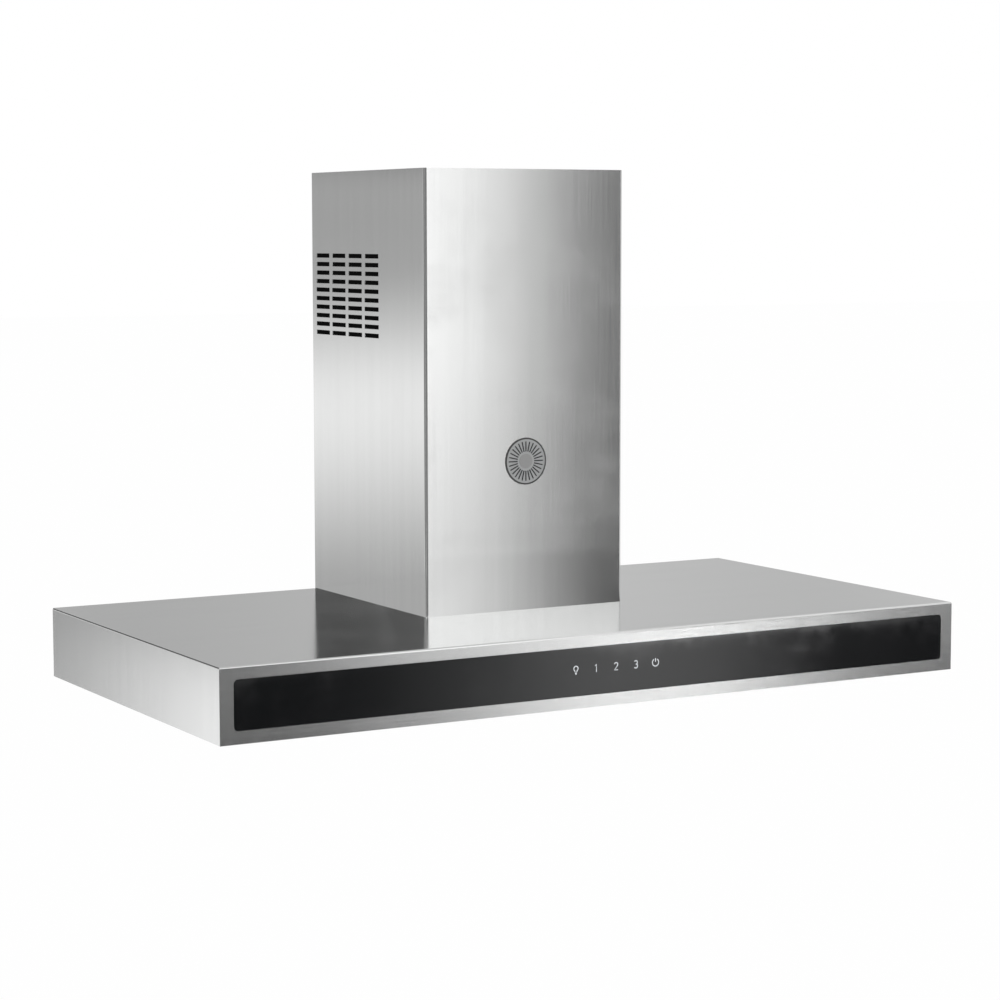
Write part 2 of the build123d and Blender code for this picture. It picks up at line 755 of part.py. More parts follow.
# Motor inside the left half of the impeller: a can with a crimped seam, hung from the scroll's side on a
# three-armed bracket
motor_right = -impeller_disc / 2 - motor_hub_gap
motor_boss_left = motor_right - motor_boss_length
motor_left = motor_boss_left - motor_length
with BuildPart() as motor_body:
    with BuildSketch(Plane.YZ.offset(motor_boss_left)):
        with Locations((blower_y, blower_z)):
            Circle(motor_radius)
    extrude(amount=-motor_length)
    can_front = motor_body.faces().sort_by(Axis.X)[-1]
    chamfer(can_front.edges(), motor_chamfer)
    with BuildSketch(Plane.YZ.offset(motor_boss_left - (motor_length - motor_seam_width) / 2)):
        with Locations((blower_y, blower_z)):
            Circle(motor_radius + motor_seam_lip)
    extrude(amount=-motor_seam_width)
    with BuildSketch(Plane.YZ.offset(motor_boss_left)):
        with Locations((blower_y, blower_z)):
            Circle(motor_boss_radius)
    extrude(amount=motor_boss_length)
    with BuildSketch(Plane.YZ.offset(motor_right)):
        with Locations((blower_y, blower_z)):
            Circle(shaft_radius + shaft_gap)
    extrude(amount=motor_left - motor_right, mode=Mode.SUBTRACT)
keep(motor_body, "motor_body")

foot_left = motor_left - bracket_arm_thickness
foot_right = -scroll_width / 2 - bush_length
foot_middle = bracket_arm_reach - bush_radius
with BuildPart() as motor_bracket:
    with BuildSketch(Plane.YZ.offset(foot_left)):
        with Locations((blower_y, blower_z)):
            Circle(motor_plate_radius)
            with PolarLocations(bracket_arm_reach / 2, 3, start_angle=90):
                Rectangle(bracket_arm_reach, bracket_arm_width)
    extrude(amount=bracket_arm_thickness)
    with BuildSketch(Plane.YZ.offset(foot_left)):
        with Locations((blower_y, blower_z)):
            with PolarLocations(foot_middle, 3, start_angle=90):
                Rectangle(2 * bush_radius, bracket_arm_width)
    extrude(amount=foot_right - foot_left)
    with BuildSketch(Plane.YZ.offset(foot_left)):
        with Locations((blower_y, blower_z)):
            Circle(hub_radius)
    extrude(amount=bracket_arm_thickness, mode=Mode.SUBTRACT)
keep(motor_bracket, "motor_bracket")

with BuildPart() as motor_bushes:
    with BuildSketch(Plane.YZ.offset(foot_right)):
        with Locations((blower_y, blower_z)):
            with PolarLocations(foot_middle, 3, start_angle=90):
                Circle(bush_radius)
    extrude(amount=bush_length)
keep(motor_bushes, "motor_bushes")

hub_left = -impeller_disc / 2
hub_right = hub_left + hub_length
with BuildPart() as motor_shaft:
    with BuildSketch(Plane.YZ.offset(motor_left + sheet)):
        with Locations((blower_y, blower_z)):
            Circle(shaft_radius)
    extrude(amount=hub_right + motor_hub_gap - motor_left - sheet)
keep(motor_shaft, "motor_shaft")


def blade_section():
    """One forward-curved blade across the rim, as a thin bowed strip about the shaft axis."""
    lead = radians(blade_lead)
    tip_radius = impeller_radius - impeller_ring
    tip = (tip_radius * cos(lead), tip_radius * sin(lead))
    root = (blade_inner_radius, 0.0)
    middle = ((tip[0] + root[0]) / 2, (tip[1] + root[1]) / 2 - blade_bow)
    with BuildSketch(mode=Mode.PRIVATE) as blade:
        with BuildLine():
            ThreePointArc(root, middle, tip)
            Line(tip, (tip[0], tip[1] + blade_thickness))
            ThreePointArc(
                (tip[0], tip[1] + blade_thickness),
                (middle[0], middle[1] + blade_thickness),
                (root[0], root[1] + blade_thickness),
            )
            Line((root[0], root[1] + blade_thickness), root)
        make_face()
    return blade.sketch


# Double-inlet impeller: centre disc and hub, curved blades, and a ring at each end
impeller_axis = Plane((0, blower_y, blower_z), x_dir=(0, 1, 0), z_dir=(1, 0, 0))
blade = blade_section()
with BuildPart() as impeller:
    with BuildSketch(impeller_axis.offset(-impeller_disc / 2)):
        Circle(impeller_radius)
    extrude(amount=impeller_disc)
    with BuildSketch(impeller_axis.offset(hub_left)):
        Circle(hub_radius)
    extrude(amount=hub_length)
    with BuildSketch(impeller_axis.offset(-impeller_width / 2)):
        with PolarLocations(0, blade_count):
            add(blade)
    extrude(amount=impeller_width)
    for ring_x in (-impeller_width / 2 - impeller_ring, impeller_width / 2):
        with BuildSketch(impeller_axis.offset(ring_x)):
            Circle(impeller_radius)
            Circle(blade_inner_radius - impeller_ring, mode=Mode.SUBTRACT)
        extrude(amount=impeller_ring)
    with BuildSketch(impeller_axis.offset(hub_left - impeller_disc)):
        Circle(shaft_radius + hub_gap)
    extrude(amount=hub_length + 2 * impeller_disc, mode=Mode.SUBTRACT)
keep(impeller, "impeller")


# Duct collar with the damper's stop lip inside and bearing holes for its axle
flap_bottom = duct_base + damper_height + damper_lip_thickness + flap_seat_gap
axle_height = flap_bottom + flap_thickness + axle_radius / 2
duct_bore = duct_radius - duct_wall
with BuildPart() as duct_collar:
    with BuildSketch(Plane.XY.offset(duct_base)):
        with Locations((0, duct_y)):
            Circle(duct_radius - duct_foot)
    extrude(amount=duct_foot)
    with BuildSketch(Plane.XY.offset(duct_base + duct_foot)):
        with Locations((0, duct_y)):
            Circle(duct_radius)
    extrude(amount=duct_top - duct_base - duct_foot)
    with BuildSketch(Plane.XY.offset(duct_base)):
        with Locations((0, duct_y)):
            Circle(duct_bore)
    extrude(amount=duct_top - duct_base, mode=Mode.SUBTRACT)
    with BuildSketch(Plane.XY.offset(duct_base + damper_height)):
        with Locations((0, duct_y)):
            Circle(duct_radius - duct_wall / 2)
            Circle(duct_radius - duct_wall - damper_lip, mode=Mode.SUBTRACT)
    extrude(amount=damper_lip_thickness)
    with BuildSketch(Plane.XZ.offset(-duct_y + duct_radius)):
        with Locations((0, axle_height)):
            Circle(axle_radius + axle_gap)
    extrude(amount=-2 * duct_radius, mode=Mode.SUBTRACT)
keep(duct_collar, "duct_collar")

with BuildPart() as collar_flange:
    with BuildSketch(Plane.XY.offset(box_top)):
        with Locations((0, duct_y)):
            Circle(duct_flange_radius)
            Circle(duct_bore, mode=Mode.SUBTRACT)
    extrude(amount=duct_flange_thickness)
keep(collar_flange, "collar_flange")

with BuildPart() as damper_axle:
    with BuildSketch(Plane.XZ.offset(-duct_y + duct_radius - duct_wall / 2)):
        with Locations((0, axle_height)):
            Circle(axle_radius)
    extrude(amount=-2 * duct_radius + duct_wall)
keep(damper_axle, "damper_axle")

# Damper flaps: half discs that turn up about the axle on interleaved knuckles
flap_radius = duct_radius - duct_wall - flap_gap
for flap_name, side, knuckle_places in (("left", -1, (-2, 1)), ("right", 1, (-1, 2))):
    knuckle_centres = [(0, duct_y + place * knuckle_pitch) for place in knuckle_places]
    with BuildPart() as damper_flap:
        with BuildSketch(Plane.XY.offset(flap_bottom)):
            with Locations((0, duct_y)):
                Circle(flap_radius)
            with Locations((side * (flap_inner_edge + flap_radius), duct_y)):
                Rectangle(2 * flap_radius, 2 * flap_radius, mode=Mode.INTERSECT)
            with Locations(*[(side * flap_inner_edge / 2, y) for _, y in knuckle_centres]):
                Rectangle(flap_inner_edge + flap_thickness, knuckle_length)
        extrude(amount=flap_thickness)
        for _, knuckle_y in knuckle_centres:
            with BuildSketch(Plane.XZ.offset(-knuckle_y + knuckle_length / 2)):
                with Locations((0, axle_height)):
                    Circle(knuckle_radius)
            extrude(amount=-knuckle_length)
        with BuildSketch(Plane.XZ.offset(-duct_y + duct_radius)):
            with Locations((0, axle_height)):
                Circle(axle_radius + axle_gap)
        extrude(amount=-2 * duct_radius, mode=Mode.SUBTRACT)
    keep(damper_flap, f"damper_flap_{flap_name}")


# Electronics under the canopy's top: box, board, capacitor, terminal block and lid
box_ceiling = canopy_top - sheet
electronics_floor = box_ceiling - electronics_height
electronics_x = electronics_left + electronics_length / 2
electronics_y = glass_rear + electronics_front + electronics_depth / 2
with BuildPart() as electronics_box:
    with BuildSketch(Plane.XY.offset(box_ceiling)):
        with Locations((electronics_x, electronics_y)):
            RectangleRounded(electronics_length, electronics_depth, 2 * electronics_wall)
    extrude(amount=electronics_wall - electronics_height)
    offset(amount=-electronics_wall, openings=electronics_box.faces().sort_by(Axis.Z)[0])
keep(electronics_box, "electronics_box")

with BuildPart() as electronics_lid:
    with BuildSketch(Plane.XY.offset(electronics_floor + electronics_wall)):
        with Locations((electronics_x, electronics_y)):
            RectangleRounded(electronics_length, electronics_depth, 2 * electronics_wall)
    extrude(amount=-electronics_wall)
keep(electronics_lid, "electronics_lid")

board_top = box_ceiling - electronics_wall
with BuildPart() as main_board:
    with BuildSketch(Plane.XY.offset(board_top)):
        with Locations((electronics_x, electronics_y)):
            Rectangle(electronics_length - 4 * electronics_wall, electronics_depth - 4 * electronics_wall)
    extrude(amount=-board_thickness)
keep(main_board, "main_board")

board_face = board_top - board_thickness
capacitor_place = (electronics_y + electronics_depth / 6, board_face - capacitor_radius)
with BuildPart() as capacitor:
    with BuildSketch(Plane.YZ.offset(electronics_x)):
        with Locations(capacitor_place):
            Circle(capacitor_radius)
    extrude(amount=capacitor_length)
    can_end = capacitor.faces().sort_by(Axis.X)[-1]
    chamfer(can_end.edges(), capacitor_crimp)
    with BuildSketch(Plane.YZ.offset(electronics_x)):
        with Locations(capacitor_place):
            Circle(capacitor_radius - capacitor_crimp)
    extrude(amount=capacitor_crimp, mode=Mode.SUBTRACT)
keep(capacitor, "capacitor")

with BuildPart() as terminal_block:
    with BuildSketch(Plane.XY.offset(board_face)):
        with Locations((electronics_x - electronics_length / 4, electronics_y)):
            Rectangle(terminal_length, terminal_width)
    extrude(amount=-terminal_height)
    with BuildSketch(Plane.XY.offset(board_face - terminal_height)):
        with Locations((electronics_x - electronics_length / 4, electronics_y)):
            with GridLocations(terminal_length / 4, 1, 4, 1):
                Rectangle(terminal_length / 8, terminal_width / 2)
    extrude(amount=terminal_height / 2, mode=Mode.SUBTRACT)
keep(terminal_block, "terminal_block")


os.makedirs("parts", exist_ok=True)
for piece in finished:
    export_step(piece, f"parts/{piece.label}.step")
print(len(finished), "pieces")
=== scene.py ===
# %% [markdown]
# # A wall-mounted range hood, finished piece by piece
# The hood's shapes come ready-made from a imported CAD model: a slim steel canopy with a black glass strip,
# a telescopic chimney, baffle filters and a blower. This lesson gives each piece its finish and adds the
# small things that are quicker to make here than in CAD, such as screws, rivets and lit symbols.

# %% Load the hood
import json
import math

import bmesh
import bpy
from mathutils import Matrix, Vector


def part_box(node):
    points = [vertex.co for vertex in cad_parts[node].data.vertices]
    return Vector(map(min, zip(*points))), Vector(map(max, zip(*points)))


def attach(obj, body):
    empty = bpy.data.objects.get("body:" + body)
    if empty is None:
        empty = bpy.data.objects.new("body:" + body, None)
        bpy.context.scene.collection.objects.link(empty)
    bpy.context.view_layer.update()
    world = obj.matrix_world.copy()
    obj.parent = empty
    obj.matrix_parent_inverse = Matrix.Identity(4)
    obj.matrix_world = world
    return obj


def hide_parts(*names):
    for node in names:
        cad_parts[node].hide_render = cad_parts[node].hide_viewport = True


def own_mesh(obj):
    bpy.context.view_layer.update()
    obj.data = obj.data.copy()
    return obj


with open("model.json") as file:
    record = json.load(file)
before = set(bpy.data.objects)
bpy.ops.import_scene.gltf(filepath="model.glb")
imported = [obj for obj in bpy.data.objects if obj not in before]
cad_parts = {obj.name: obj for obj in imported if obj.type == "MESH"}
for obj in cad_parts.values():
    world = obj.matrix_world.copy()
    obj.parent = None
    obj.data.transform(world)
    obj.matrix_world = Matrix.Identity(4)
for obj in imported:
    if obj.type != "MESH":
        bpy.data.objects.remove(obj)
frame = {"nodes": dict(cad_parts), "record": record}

MM = 0.001
scene = bpy.context.scene
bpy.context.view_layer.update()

# %% [markdown]
# ## The camera
# The photograph was taken from the left and a little above. A pinhole camera was fitted to the hood's
# straight edges, which gave a place, three angles and a focal length. A long lens keeps the upright edges
# nearly parallel. The turn is built from its three axes, because that leaves no doubt about the order of
# the angles.

# %% Place the camera
camera_place = Vector((-1434.3, -2750.3, 492.5)) * MM
camera_turn = math.radians(29.552)
camera_dip = math.radians(5.853)
camera_roll = math.radians(-0.075)
sensor_width = 36.0
lens_length = 93.75

ahead = Vector((
    math.cos(camera_dip) * math.sin(camera_turn),
    math.cos(camera_dip) * math.cos(camera_turn),
    -math.sin(camera_dip),
))
aside = Vector((math.cos(camera_turn), -math.sin(camera_turn), 0.0))
above = aside.cross(ahead)
camera_axes = Matrix((aside, above, -ahead)).transposed() @ Matrix.Rotation(camera_roll, 3, "Z")

camera_data = bpy.data.cameras.new("camera")
camera_data.sensor_width = sensor_width
camera_data.lens = lens_length
camera = bpy.data.objects.new("camera", camera_data)
scene.collection.objects.link(camera)
camera.matrix_world = Matrix.Translation(camera_place) @ camera_axes.to_4x4()
scene.camera = camera
scene.view_settings.view_transform = "Standard"
print("camera at", [round(c, 3) for c in camera_place], "lens", lens_length)

# %% [markdown]
# ## Helpers for node trees
# Materials, the world and Geometry Nodes are all trees of nodes. Adding a node, setting its options and
# joining its inputs takes many lines by hand, so one helper does all three. An input gets a link where it
# is handed another node's output, and a plain value otherwise. Three more helpers put values through the
# nodes for arithmetic.

# %% Node helpers
def fill(tree, node, sockets):
    """Fill a node's inputs with values or links."""
    for socket, value in sockets.items():
        if isinstance(value, bpy.types.NodeSocket):
            tree.links.new(value, node.inputs[socket])
        else:
            node.inputs[socket].default_value = value


def put(tree, kind, sockets=None, **options):
    """Add a node, set its options and fill its inputs."""
    node = tree.nodes.new(kind)
    for option, value in options.items():
        setattr(node, option, value)
    fill(tree, node, sockets or {})
    return node


print("node helpers ready")

# %% Arithmetic helpers
def rescale(tree, value, low, high, to_low=0.0, to_high=1.0, kind="LINEAR"):
    """Map one range of a value onto another, held at both ends."""
    sockets = {"Value": value, "From Min": low, "From Max": high, "To Min": to_low, "To Max": to_high}
    return put(tree, "ShaderNodeMapRange", sockets, interpolation_type=kind).outputs["Result"]


def sums(tree, kind, first, second=0.0):
    """Arithmetic on one or two values."""
    return put(tree, "ShaderNodeMath", {0: first, 1: second}, operation=kind).outputs[0]


def times(tree, first, second):
    """One value multiplied by another."""
    return sums(tree, "MULTIPLY", first, second)


print("arithmetic helpers ready")

# %% [markdown]
# ## White room
# Product photographs of steel are taken in a white room. The world is plain white to the camera and to
# reflections, and a little dimmer as a light. The floor lies where a kitchen floor would, far below the
# hood, and is see-through from beneath so that the hood's underside can be looked at.

# %% Stage helpers
def grey(value):
    """An opaque grey."""
    return (value, value, value, 1.0)


def looked_at(tree):
    """One for rays that picture the room, straight, mirrored or through glass, and nothing for its light."""
    path = put(tree, "ShaderNodeLightPath").outputs
    seen = sums(tree, "MAXIMUM", path["Is Camera Ray"], path["Is Glossy Ray"])
    return sums(tree, "MAXIMUM", seen, path["Is Transmission Ray"])


def new_material(name):
    """A material with an empty node tree."""
    material = bpy.data.materials.new(name)
    material.use_nodes = True
    material.node_tree.nodes.clear()
    return material, material.node_tree


def one_sided(tree, shader):
    """End a material's tree: the shader from the front, and clear from behind."""
    behind = put(tree, "ShaderNodeNewGeometry").outputs["Backfacing"]
    clear = put(tree, "ShaderNodeBsdfTransparent")
    sided = put(tree, "ShaderNodeMixShader", {0: behind, 1: shader.outputs[0], 2: clear.outputs[0]})
    put(tree, "ShaderNodeOutputMaterial", {"Surface": sided.outputs[0]})


def stage_card(name, corners, material):
    """A flat card for the stage, from its four corners."""
    mesh = bpy.data.meshes.new(name)
    mesh.from_pydata(corners, [], [(0, 1, 2, 3)])
    mesh.materials.append(material)
    card = bpy.data.objects.new(name, mesh)
    scene.collection.objects.link(card)
    return card


def level(left, near, right, far, height):
    """Corners of a level rectangle, which faces up where near is in front of far."""
    return [(left, near, height), (right, near, height), (right, far, height), (left, far, height)]


print("stage helpers ready")

# %% World and floor
room_light = 0.72
floor_height = -1.6
floor_half = 60.0
floor_paint = 0.9
floor_glow_share = 0.98

world = bpy.data.worlds.new("white_room")
scene.world = world
world.use_nodes = True
sky = world.node_tree
sky.nodes.clear()
strength = rescale(sky, looked_at(sky), 0.0, 1.0, room_light, 1.0)
shade = put(sky, "ShaderNodeBackground", {"Color": grey(1.0), "Strength": strength})
put(sky, "ShaderNodeOutputWorld", {"Surface": shade.outputs[0]})

pale_floor, tree = new_material("pale_floor")
paint = put(tree, "ShaderNodeBsdfDiffuse", {"Color": grey(floor_paint)})
glow = put(tree, "ShaderNodeEmission", {"Color": grey(1.0), "Strength": 1.0})
share = times(tree, looked_at(tree), floor_glow_share)
one_sided(tree, put(tree, "ShaderNodeMixShader", {0: share, 1: paint.outputs[0], 2: glow.outputs[0]}))
stage_card("floor", level(-floor_half, -floor_half, floor_half, floor_half, floor_height), pale_floor)
print("floor at", floor_height)

# %% [markdown]
# ## Soft lamps
# Three large lamps give plastics and paint their shape. Steel shows its lamps as hard bright squares,
# which the photograph doesn't have, so the lamps are hidden from reflections, and cards further on take
# care of the steel.

# %% Lamps
def soft_lamp(name, place, target, size, power):
    """A square lamp that points at a target."""
    data = bpy.data.lights.new(name, "AREA")
    data.size = size
    data.energy = power
    lamp = bpy.data.objects.new(name, data)
    scene.collection.objects.link(lamp)
    aim = (Vector(target) - Vector(place)).to_track_quat("-Z", "Y")
    lamp.matrix_world = Matrix.Translation(place) @ aim.to_matrix().to_4x4()
    lamp.visible_glossy = False


hood_middle = (0.0, -0.2, 0.25)
soft_lamp("key_lamp", (-1.6, -2.6, 2.4), hood_middle, size=2.0, power=36.0)
soft_lamp("fill_lamp", (2.4, -2.0, 0.6), hood_middle, size=2.0, power=14.0)
soft_lamp("under_lamp", (0.0, -1.4, -1.3), hood_middle, size=1.5, power=12.0)
print("lamps set")

# %% [markdown]
# ## Reflection cards
# A brushed sheet has hardly any colour of its own: what it shows is the room. Photographers shape it with
# big white and grey cards outside the picture. Here six cards stand round the hood like the walls and
# ceiling of a room, pale near the floor and greyer above. They take part in reflections only, so they
# throw no shadow and tint no paint.

# %% Gradient helpers
def ramp(tree, factor, stops):
    """A smooth grey gradient through the given (place, value) stops."""
    node = put(tree, "ShaderNodeValToRGB", {"Fac": factor})
    node.color_ramp.interpolation = "CARDINAL"
    marks = node.color_ramp.elements
    while len(marks) < len(stops):
        marks.new(0.5)
    for mark, (place, value) in zip(marks, stops):
        mark.position = place
        mark.color = grey(value)
    return node.outputs["Color"]


def mix_colour(tree, factor, first, second):
    """Blend two colours."""
    return put(tree, "ShaderNodeMix", {0: factor, 6: first, 7: second}, data_type="RGBA").outputs[2]


def window(tree, value, low, high, soft):
    """One inside a range of a value and nothing outside, with soft ends."""
    enter = rescale(tree, value, low - soft, low + soft, kind="SMOOTHSTEP")
    leave = rescale(tree, value, high - soft, high + soft, 1.0, 0.0, kind="SMOOTHSTEP")
    return times(tree, enter, leave)


def rectangle(tree, places, limits):
    """One inside a rectangle and nothing outside: limits holds (low, high, softness) for each place."""
    first, second = [window(tree, place, *limit) for place, limit in zip(places, limits)]
    return times(tree, first, second)


print("gradient helpers ready")

# %% Card helpers
card_glow = 2.0
wall_front, wall_back, wall_side, wall_top = -5.0, 6.0, 9.0, 7.0
wall_base = floor_height + 1.0 * MM
grey_height = 5.0


def parts_of(tree, vector):
    """The three parts of a vector."""
    return put(tree, "ShaderNodeSeparateXYZ", {0: vector}).outputs


def room_value(tree, z):
    """Plain walls: pale near the floor and greyer with height."""
    height = rescale(tree, z, floor_height, grey_height)
    return ramp(tree, height, [(0.0, 0.42), (0.2, 0.37), (0.4, 0.30), (0.7, 0.26), (1.0, 0.30)])


def room_card(name, corners, value_of=None):
    """A card that glows by the room's value or a painted one, seen in reflections only."""
    material, tree = new_material(name)
    x, y, z = parts_of(tree, put(tree, "ShaderNodeTexCoord").outputs["Object"])
    value = room_value(tree, z)
    if value_of:
        painted, area = value_of(tree, x, y, z)
        value = mix_colour(tree, area, value, painted)
    one_sided(tree, put(tree, "ShaderNodeEmission", {"Color": value, "Strength": card_glow}))
    card = stage_card(name, corners, material)
    card.visible_camera = False
    card.visible_diffuse = False
    card.visible_shadow = False
    card.visible_transmission = False


def wall_card(name, first, last, value_of=None):
    """An upright card between two places on the floor."""
    upright = [(*first, wall_base), (*last, wall_base), (*last, wall_top), (*first, wall_top)]
    room_card(name, upright, value_of)


print("card helpers ready")

# %% [markdown]
# Some areas of the cards carry the gradients that the photograph shows on the steel. The front card has
# three bands, one above the other: a white patch for the middle of the glass, a bright line for the frame
# over the glass, and a gradient from white to near black for the chimney. White overhead lights the
# canopy's front bend. A dark area on the left draws the dark line down the chimney's left front bend.

# %% Front card
bands_left, bands_right = 0.5, 5.5
glass_foot, glass_full = -1.0, -0.95
glass_foot_share = 0.87
rim_low, rim_high, rim_soft = -0.778, -0.72, 0.006
rim_gain = 3.0
chimney_from, chimney_full = -0.71, 0.1
chimney_foot_share = 0.68
overhead_from, overhead_full = 0.78, 0.92
overhead_value = 0.58
dark_value = 0.11
# Limits of an area: low, high and softness
bands_x, bands_z = (1.0, 4.9, 0.3), (floor_height, 5.0, 0.3)
dark_x, dark_z = (-7.0, 1.3, 0.3), (-1.0, 2.0, 0.3)


def front_values(tree, x, y, z):
    """From below: glass, rim, chimney and overhead, with dark on the left."""
    across = rescale(tree, x, bands_left, bands_right)
    glass = ramp(tree, across, [
        (0.18, 0.01), (0.31, 0.08), (0.39, 0.30), (0.46, 0.52),
        (0.55, 0.42), (0.62, 0.12), (0.69, 0.05), (0.75, 0.03),
    ])
    glass = times(tree, glass, rescale(tree, z, glass_foot, glass_full, glass_foot_share, 1.0))
    rim = ramp(tree, across, [
        (0.20, 0.16), (0.32, 0.04), (0.42, 0.20), (0.49, 0.84),
        (0.55, 1.0), (0.62, 0.80), (0.69, 0.30), (0.76, 0.10),
    ])
    rim = times(tree, rim, rim_gain)
    chimney = ramp(tree, across, [
        (0.22, 0.05), (0.30, 0.64), (0.41, 0.63), (0.49, 0.005), (0.62, 0.005), (0.70, 0.22), (0.85, 0.20),
    ])
    chimney = times(tree, chimney, rescale(tree, z, rim_high, chimney_full, chimney_foot_share, 1.0))
    value = mix_colour(tree, window(tree, z, rim_low, rim_high, rim_soft), glass, rim)
    at_chimney = rescale(tree, z, rim_high, chimney_from, kind="SMOOTHSTEP")
    value = mix_colour(tree, at_chimney, value, chimney)
    overhead = rescale(tree, z, overhead_from, overhead_full, kind="SMOOTHSTEP")
    value = mix_colour(tree, overhead, value, grey(overhead_value))
    on_left = window(tree, x, *dark_x)
    value = mix_colour(tree, on_left, value, grey(dark_value))
    bands = rectangle(tree, (z, x), (bands_z, bands_x))
    beside = times(tree, on_left, window(tree, z, *dark_z))
    return value, sums(tree, "MAXIMUM", bands, beside)


front_left, front_right = (-wall_side, wall_front), (wall_side, wall_front)
wall_card("front_card", front_right, front_left, front_values)
print("front card set")

# %% [markdown]
# The left faces mirror the card behind on the left: grey bands for the chimney, and below them a gradient
# for the canopy's end, whose boundary is slanted as the view is. The canopy's top mirrors the card behind
# on the right, which is an even grey there.

# %% Back cards
band_top = 1.4
end_front, end_back = -3.5, -2.3
end_slope, end_from, end_to = 0.425, 0.305, 0.405
left_faces_area = ((-4.2, -1.7, 0.4), (-2.0, 2.2, 0.3))
over_bend_area = ((-2.7, -0.3, 0.3), (2.0, 3.2, 0.3))
over_bend_value = 0.04
top_left, top_right = 2.0, 5.0
top_area = ((1.4, 5.6, 0.5), (0.2, 2.4, 0.4))


def back_left_values(tree, x, y, z):
    """Bands for the chimney's left, a gradient for the canopy's end, and dark above for that end's bend."""
    value = ramp(tree, rescale(tree, z, floor_height, band_top), [
        (0.10, 0.3), (0.25, 0.215), (0.485, 0.49), (0.62, 0.25),
        (0.70, 0.20), (0.775, 0.19), (0.82, 0.02), (1.0, 0.005),
    ])
    along = rescale(tree, x, end_front, end_back)
    end = ramp(tree, along, [(0.0, 0.66), (0.225, 0.54), (0.5, 0.36), (0.75, 0.17), (1.0, 0.12)])
    slanted = sums(tree, "SUBTRACT", z, times(tree, x, end_slope))
    value = mix_colour(tree, rescale(tree, slanted, end_from, end_to, 1.0, 0.0), value, end)
    over_bend = rectangle(tree, (x, z), over_bend_area)
    value = mix_colour(tree, over_bend, value, grey(over_bend_value))
    return value, sums(tree, "MAXIMUM", rectangle(tree, (x, z), left_faces_area), over_bend)


def back_right_values(tree, x, y, z):
    """An even grey for the canopy's top."""
    across = rescale(tree, x, top_left, top_right)
    value = ramp(tree, across, [(0.0, 0.225), (0.32, 0.26), (0.55, 0.29), (1.0, 0.26)])
    return value, rectangle(tree, (x, z), top_area)


back_left, back_right = (-wall_side, wall_back), (wall_side, wall_back)
back_middle = (0.0, wall_back)
wall_card("back_left_card", back_left, back_middle, back_left_values)
wall_card("back_right_card", back_middle, back_right, back_right_values)
print("back cards set")

# %% [markdown]
# The card on the left is dark level with the chimney, where the chimney's left front bend mirrors it. A
# white area of the ceiling brightens the bend along the canopy's front. The card on the right stays
# plain.

# %% Side and ceiling cards
level_with_chimney = (-1.3, 2.2, 0.4)
ceiling_value = 0.50
ceiling_area = ((4.2, 8.6, 0.8), (-3.0, 5.6, 0.3))


def left_side_values(tree, x, y, z):
    """A dark area level with the chimney."""
    return grey(dark_value), window(tree, z, *level_with_chimney)


def ceiling_values(tree, x, y, z):
    """A white area that brightens the bend along the canopy's front."""
    return grey(ceiling_value), rectangle(tree, (x, y), ceiling_area)


wall_card("left_card", front_left, back_left, left_side_values)
wall_card("right_card", back_right, front_right)
room_card("ceiling_card", level(-wall_side, wall_back, wall_side, wall_front, wall_top), ceiling_values)
print("side and ceiling cards set")

# %% [markdown]
# Three more cards lie flat. The first is a soft grey pool over the whole floor, so that the filters and
# the panel don't mirror plain white.

# %% Pool card
pool_height = floor_height + 50.0 * MM
pool_reach = 6.0
pool_middle = 0.2


def point(tree, *parts):
    """A vector from its parts, the last of which may be left out."""
    return put(tree, "ShaderNodeCombineXYZ", dict(enumerate(parts))).outputs[0]


def length(tree, vector):
    """How long a vector is."""
    return put(tree, "ShaderNodeVectorMath", {0: vector}, operation="LENGTH").outputs["Value"]


def pool_values(tree, x, y, z):
    """Grey below the hood and paler further out."""
    away = length(tree, point(tree, x, sums(tree, "ADD", y, pool_middle)))
    value = ramp(tree, rescale(tree, away, 0.0, pool_reach), [
        (0.0, 0.20), (0.18, 0.34), (0.35, 0.24), (0.6, 0.34), (0.85, 0.50),
    ])
    return value, 1.0


room_card("pool_card", level(-wall_side, wall_front, wall_side, wall_back, pool_height), pool_values)
print("pool card at", round(pool_height, 3))

# %% [markdown]
# The other two lie just over the canopy's top, in front of the chimney and beside it. From above they
# hide the canopy from the chimney, whose faces run down to the canopy in one gradient in the photograph.
# From below they aren't there at all.

# %% Foot cards
foot_beside = 0.23
foot_gap, foot_lift = 1.0 * MM, 0.5 * MM
foot_margin = 15.0 * MM
foot_front = -0.75
left_slant, right_slant = 0.9, 1.15

cover_low, cover_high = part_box("chimney_cover_lower")
canopy_low, canopy_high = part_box("canopy_shell")
chimney_half = cover_high.x
chimney_front = -cover_low.y
view_slant = math.tan(camera_turn)


def foot_values(tree, x, y, z):
    """White to dark in front of the chimney, and an even grey beside it."""
    reach = times(tree, sums(tree, "ADD", y, chimney_front), view_slant)
    seen_at = rescale(tree, sums(tree, "ADD", x, reach), -chimney_half, chimney_half)
    front = ramp(tree, seen_at, [
        (0.0, 0.44), (0.2, 0.385), (0.4, 0.305), (0.6, 0.205), (0.8, 0.115), (1.0, 0.06),
    ])
    return mix_colour(tree, sums(tree, "LESS_THAN", x, -chimney_half), front, grey(foot_beside)), 1.0


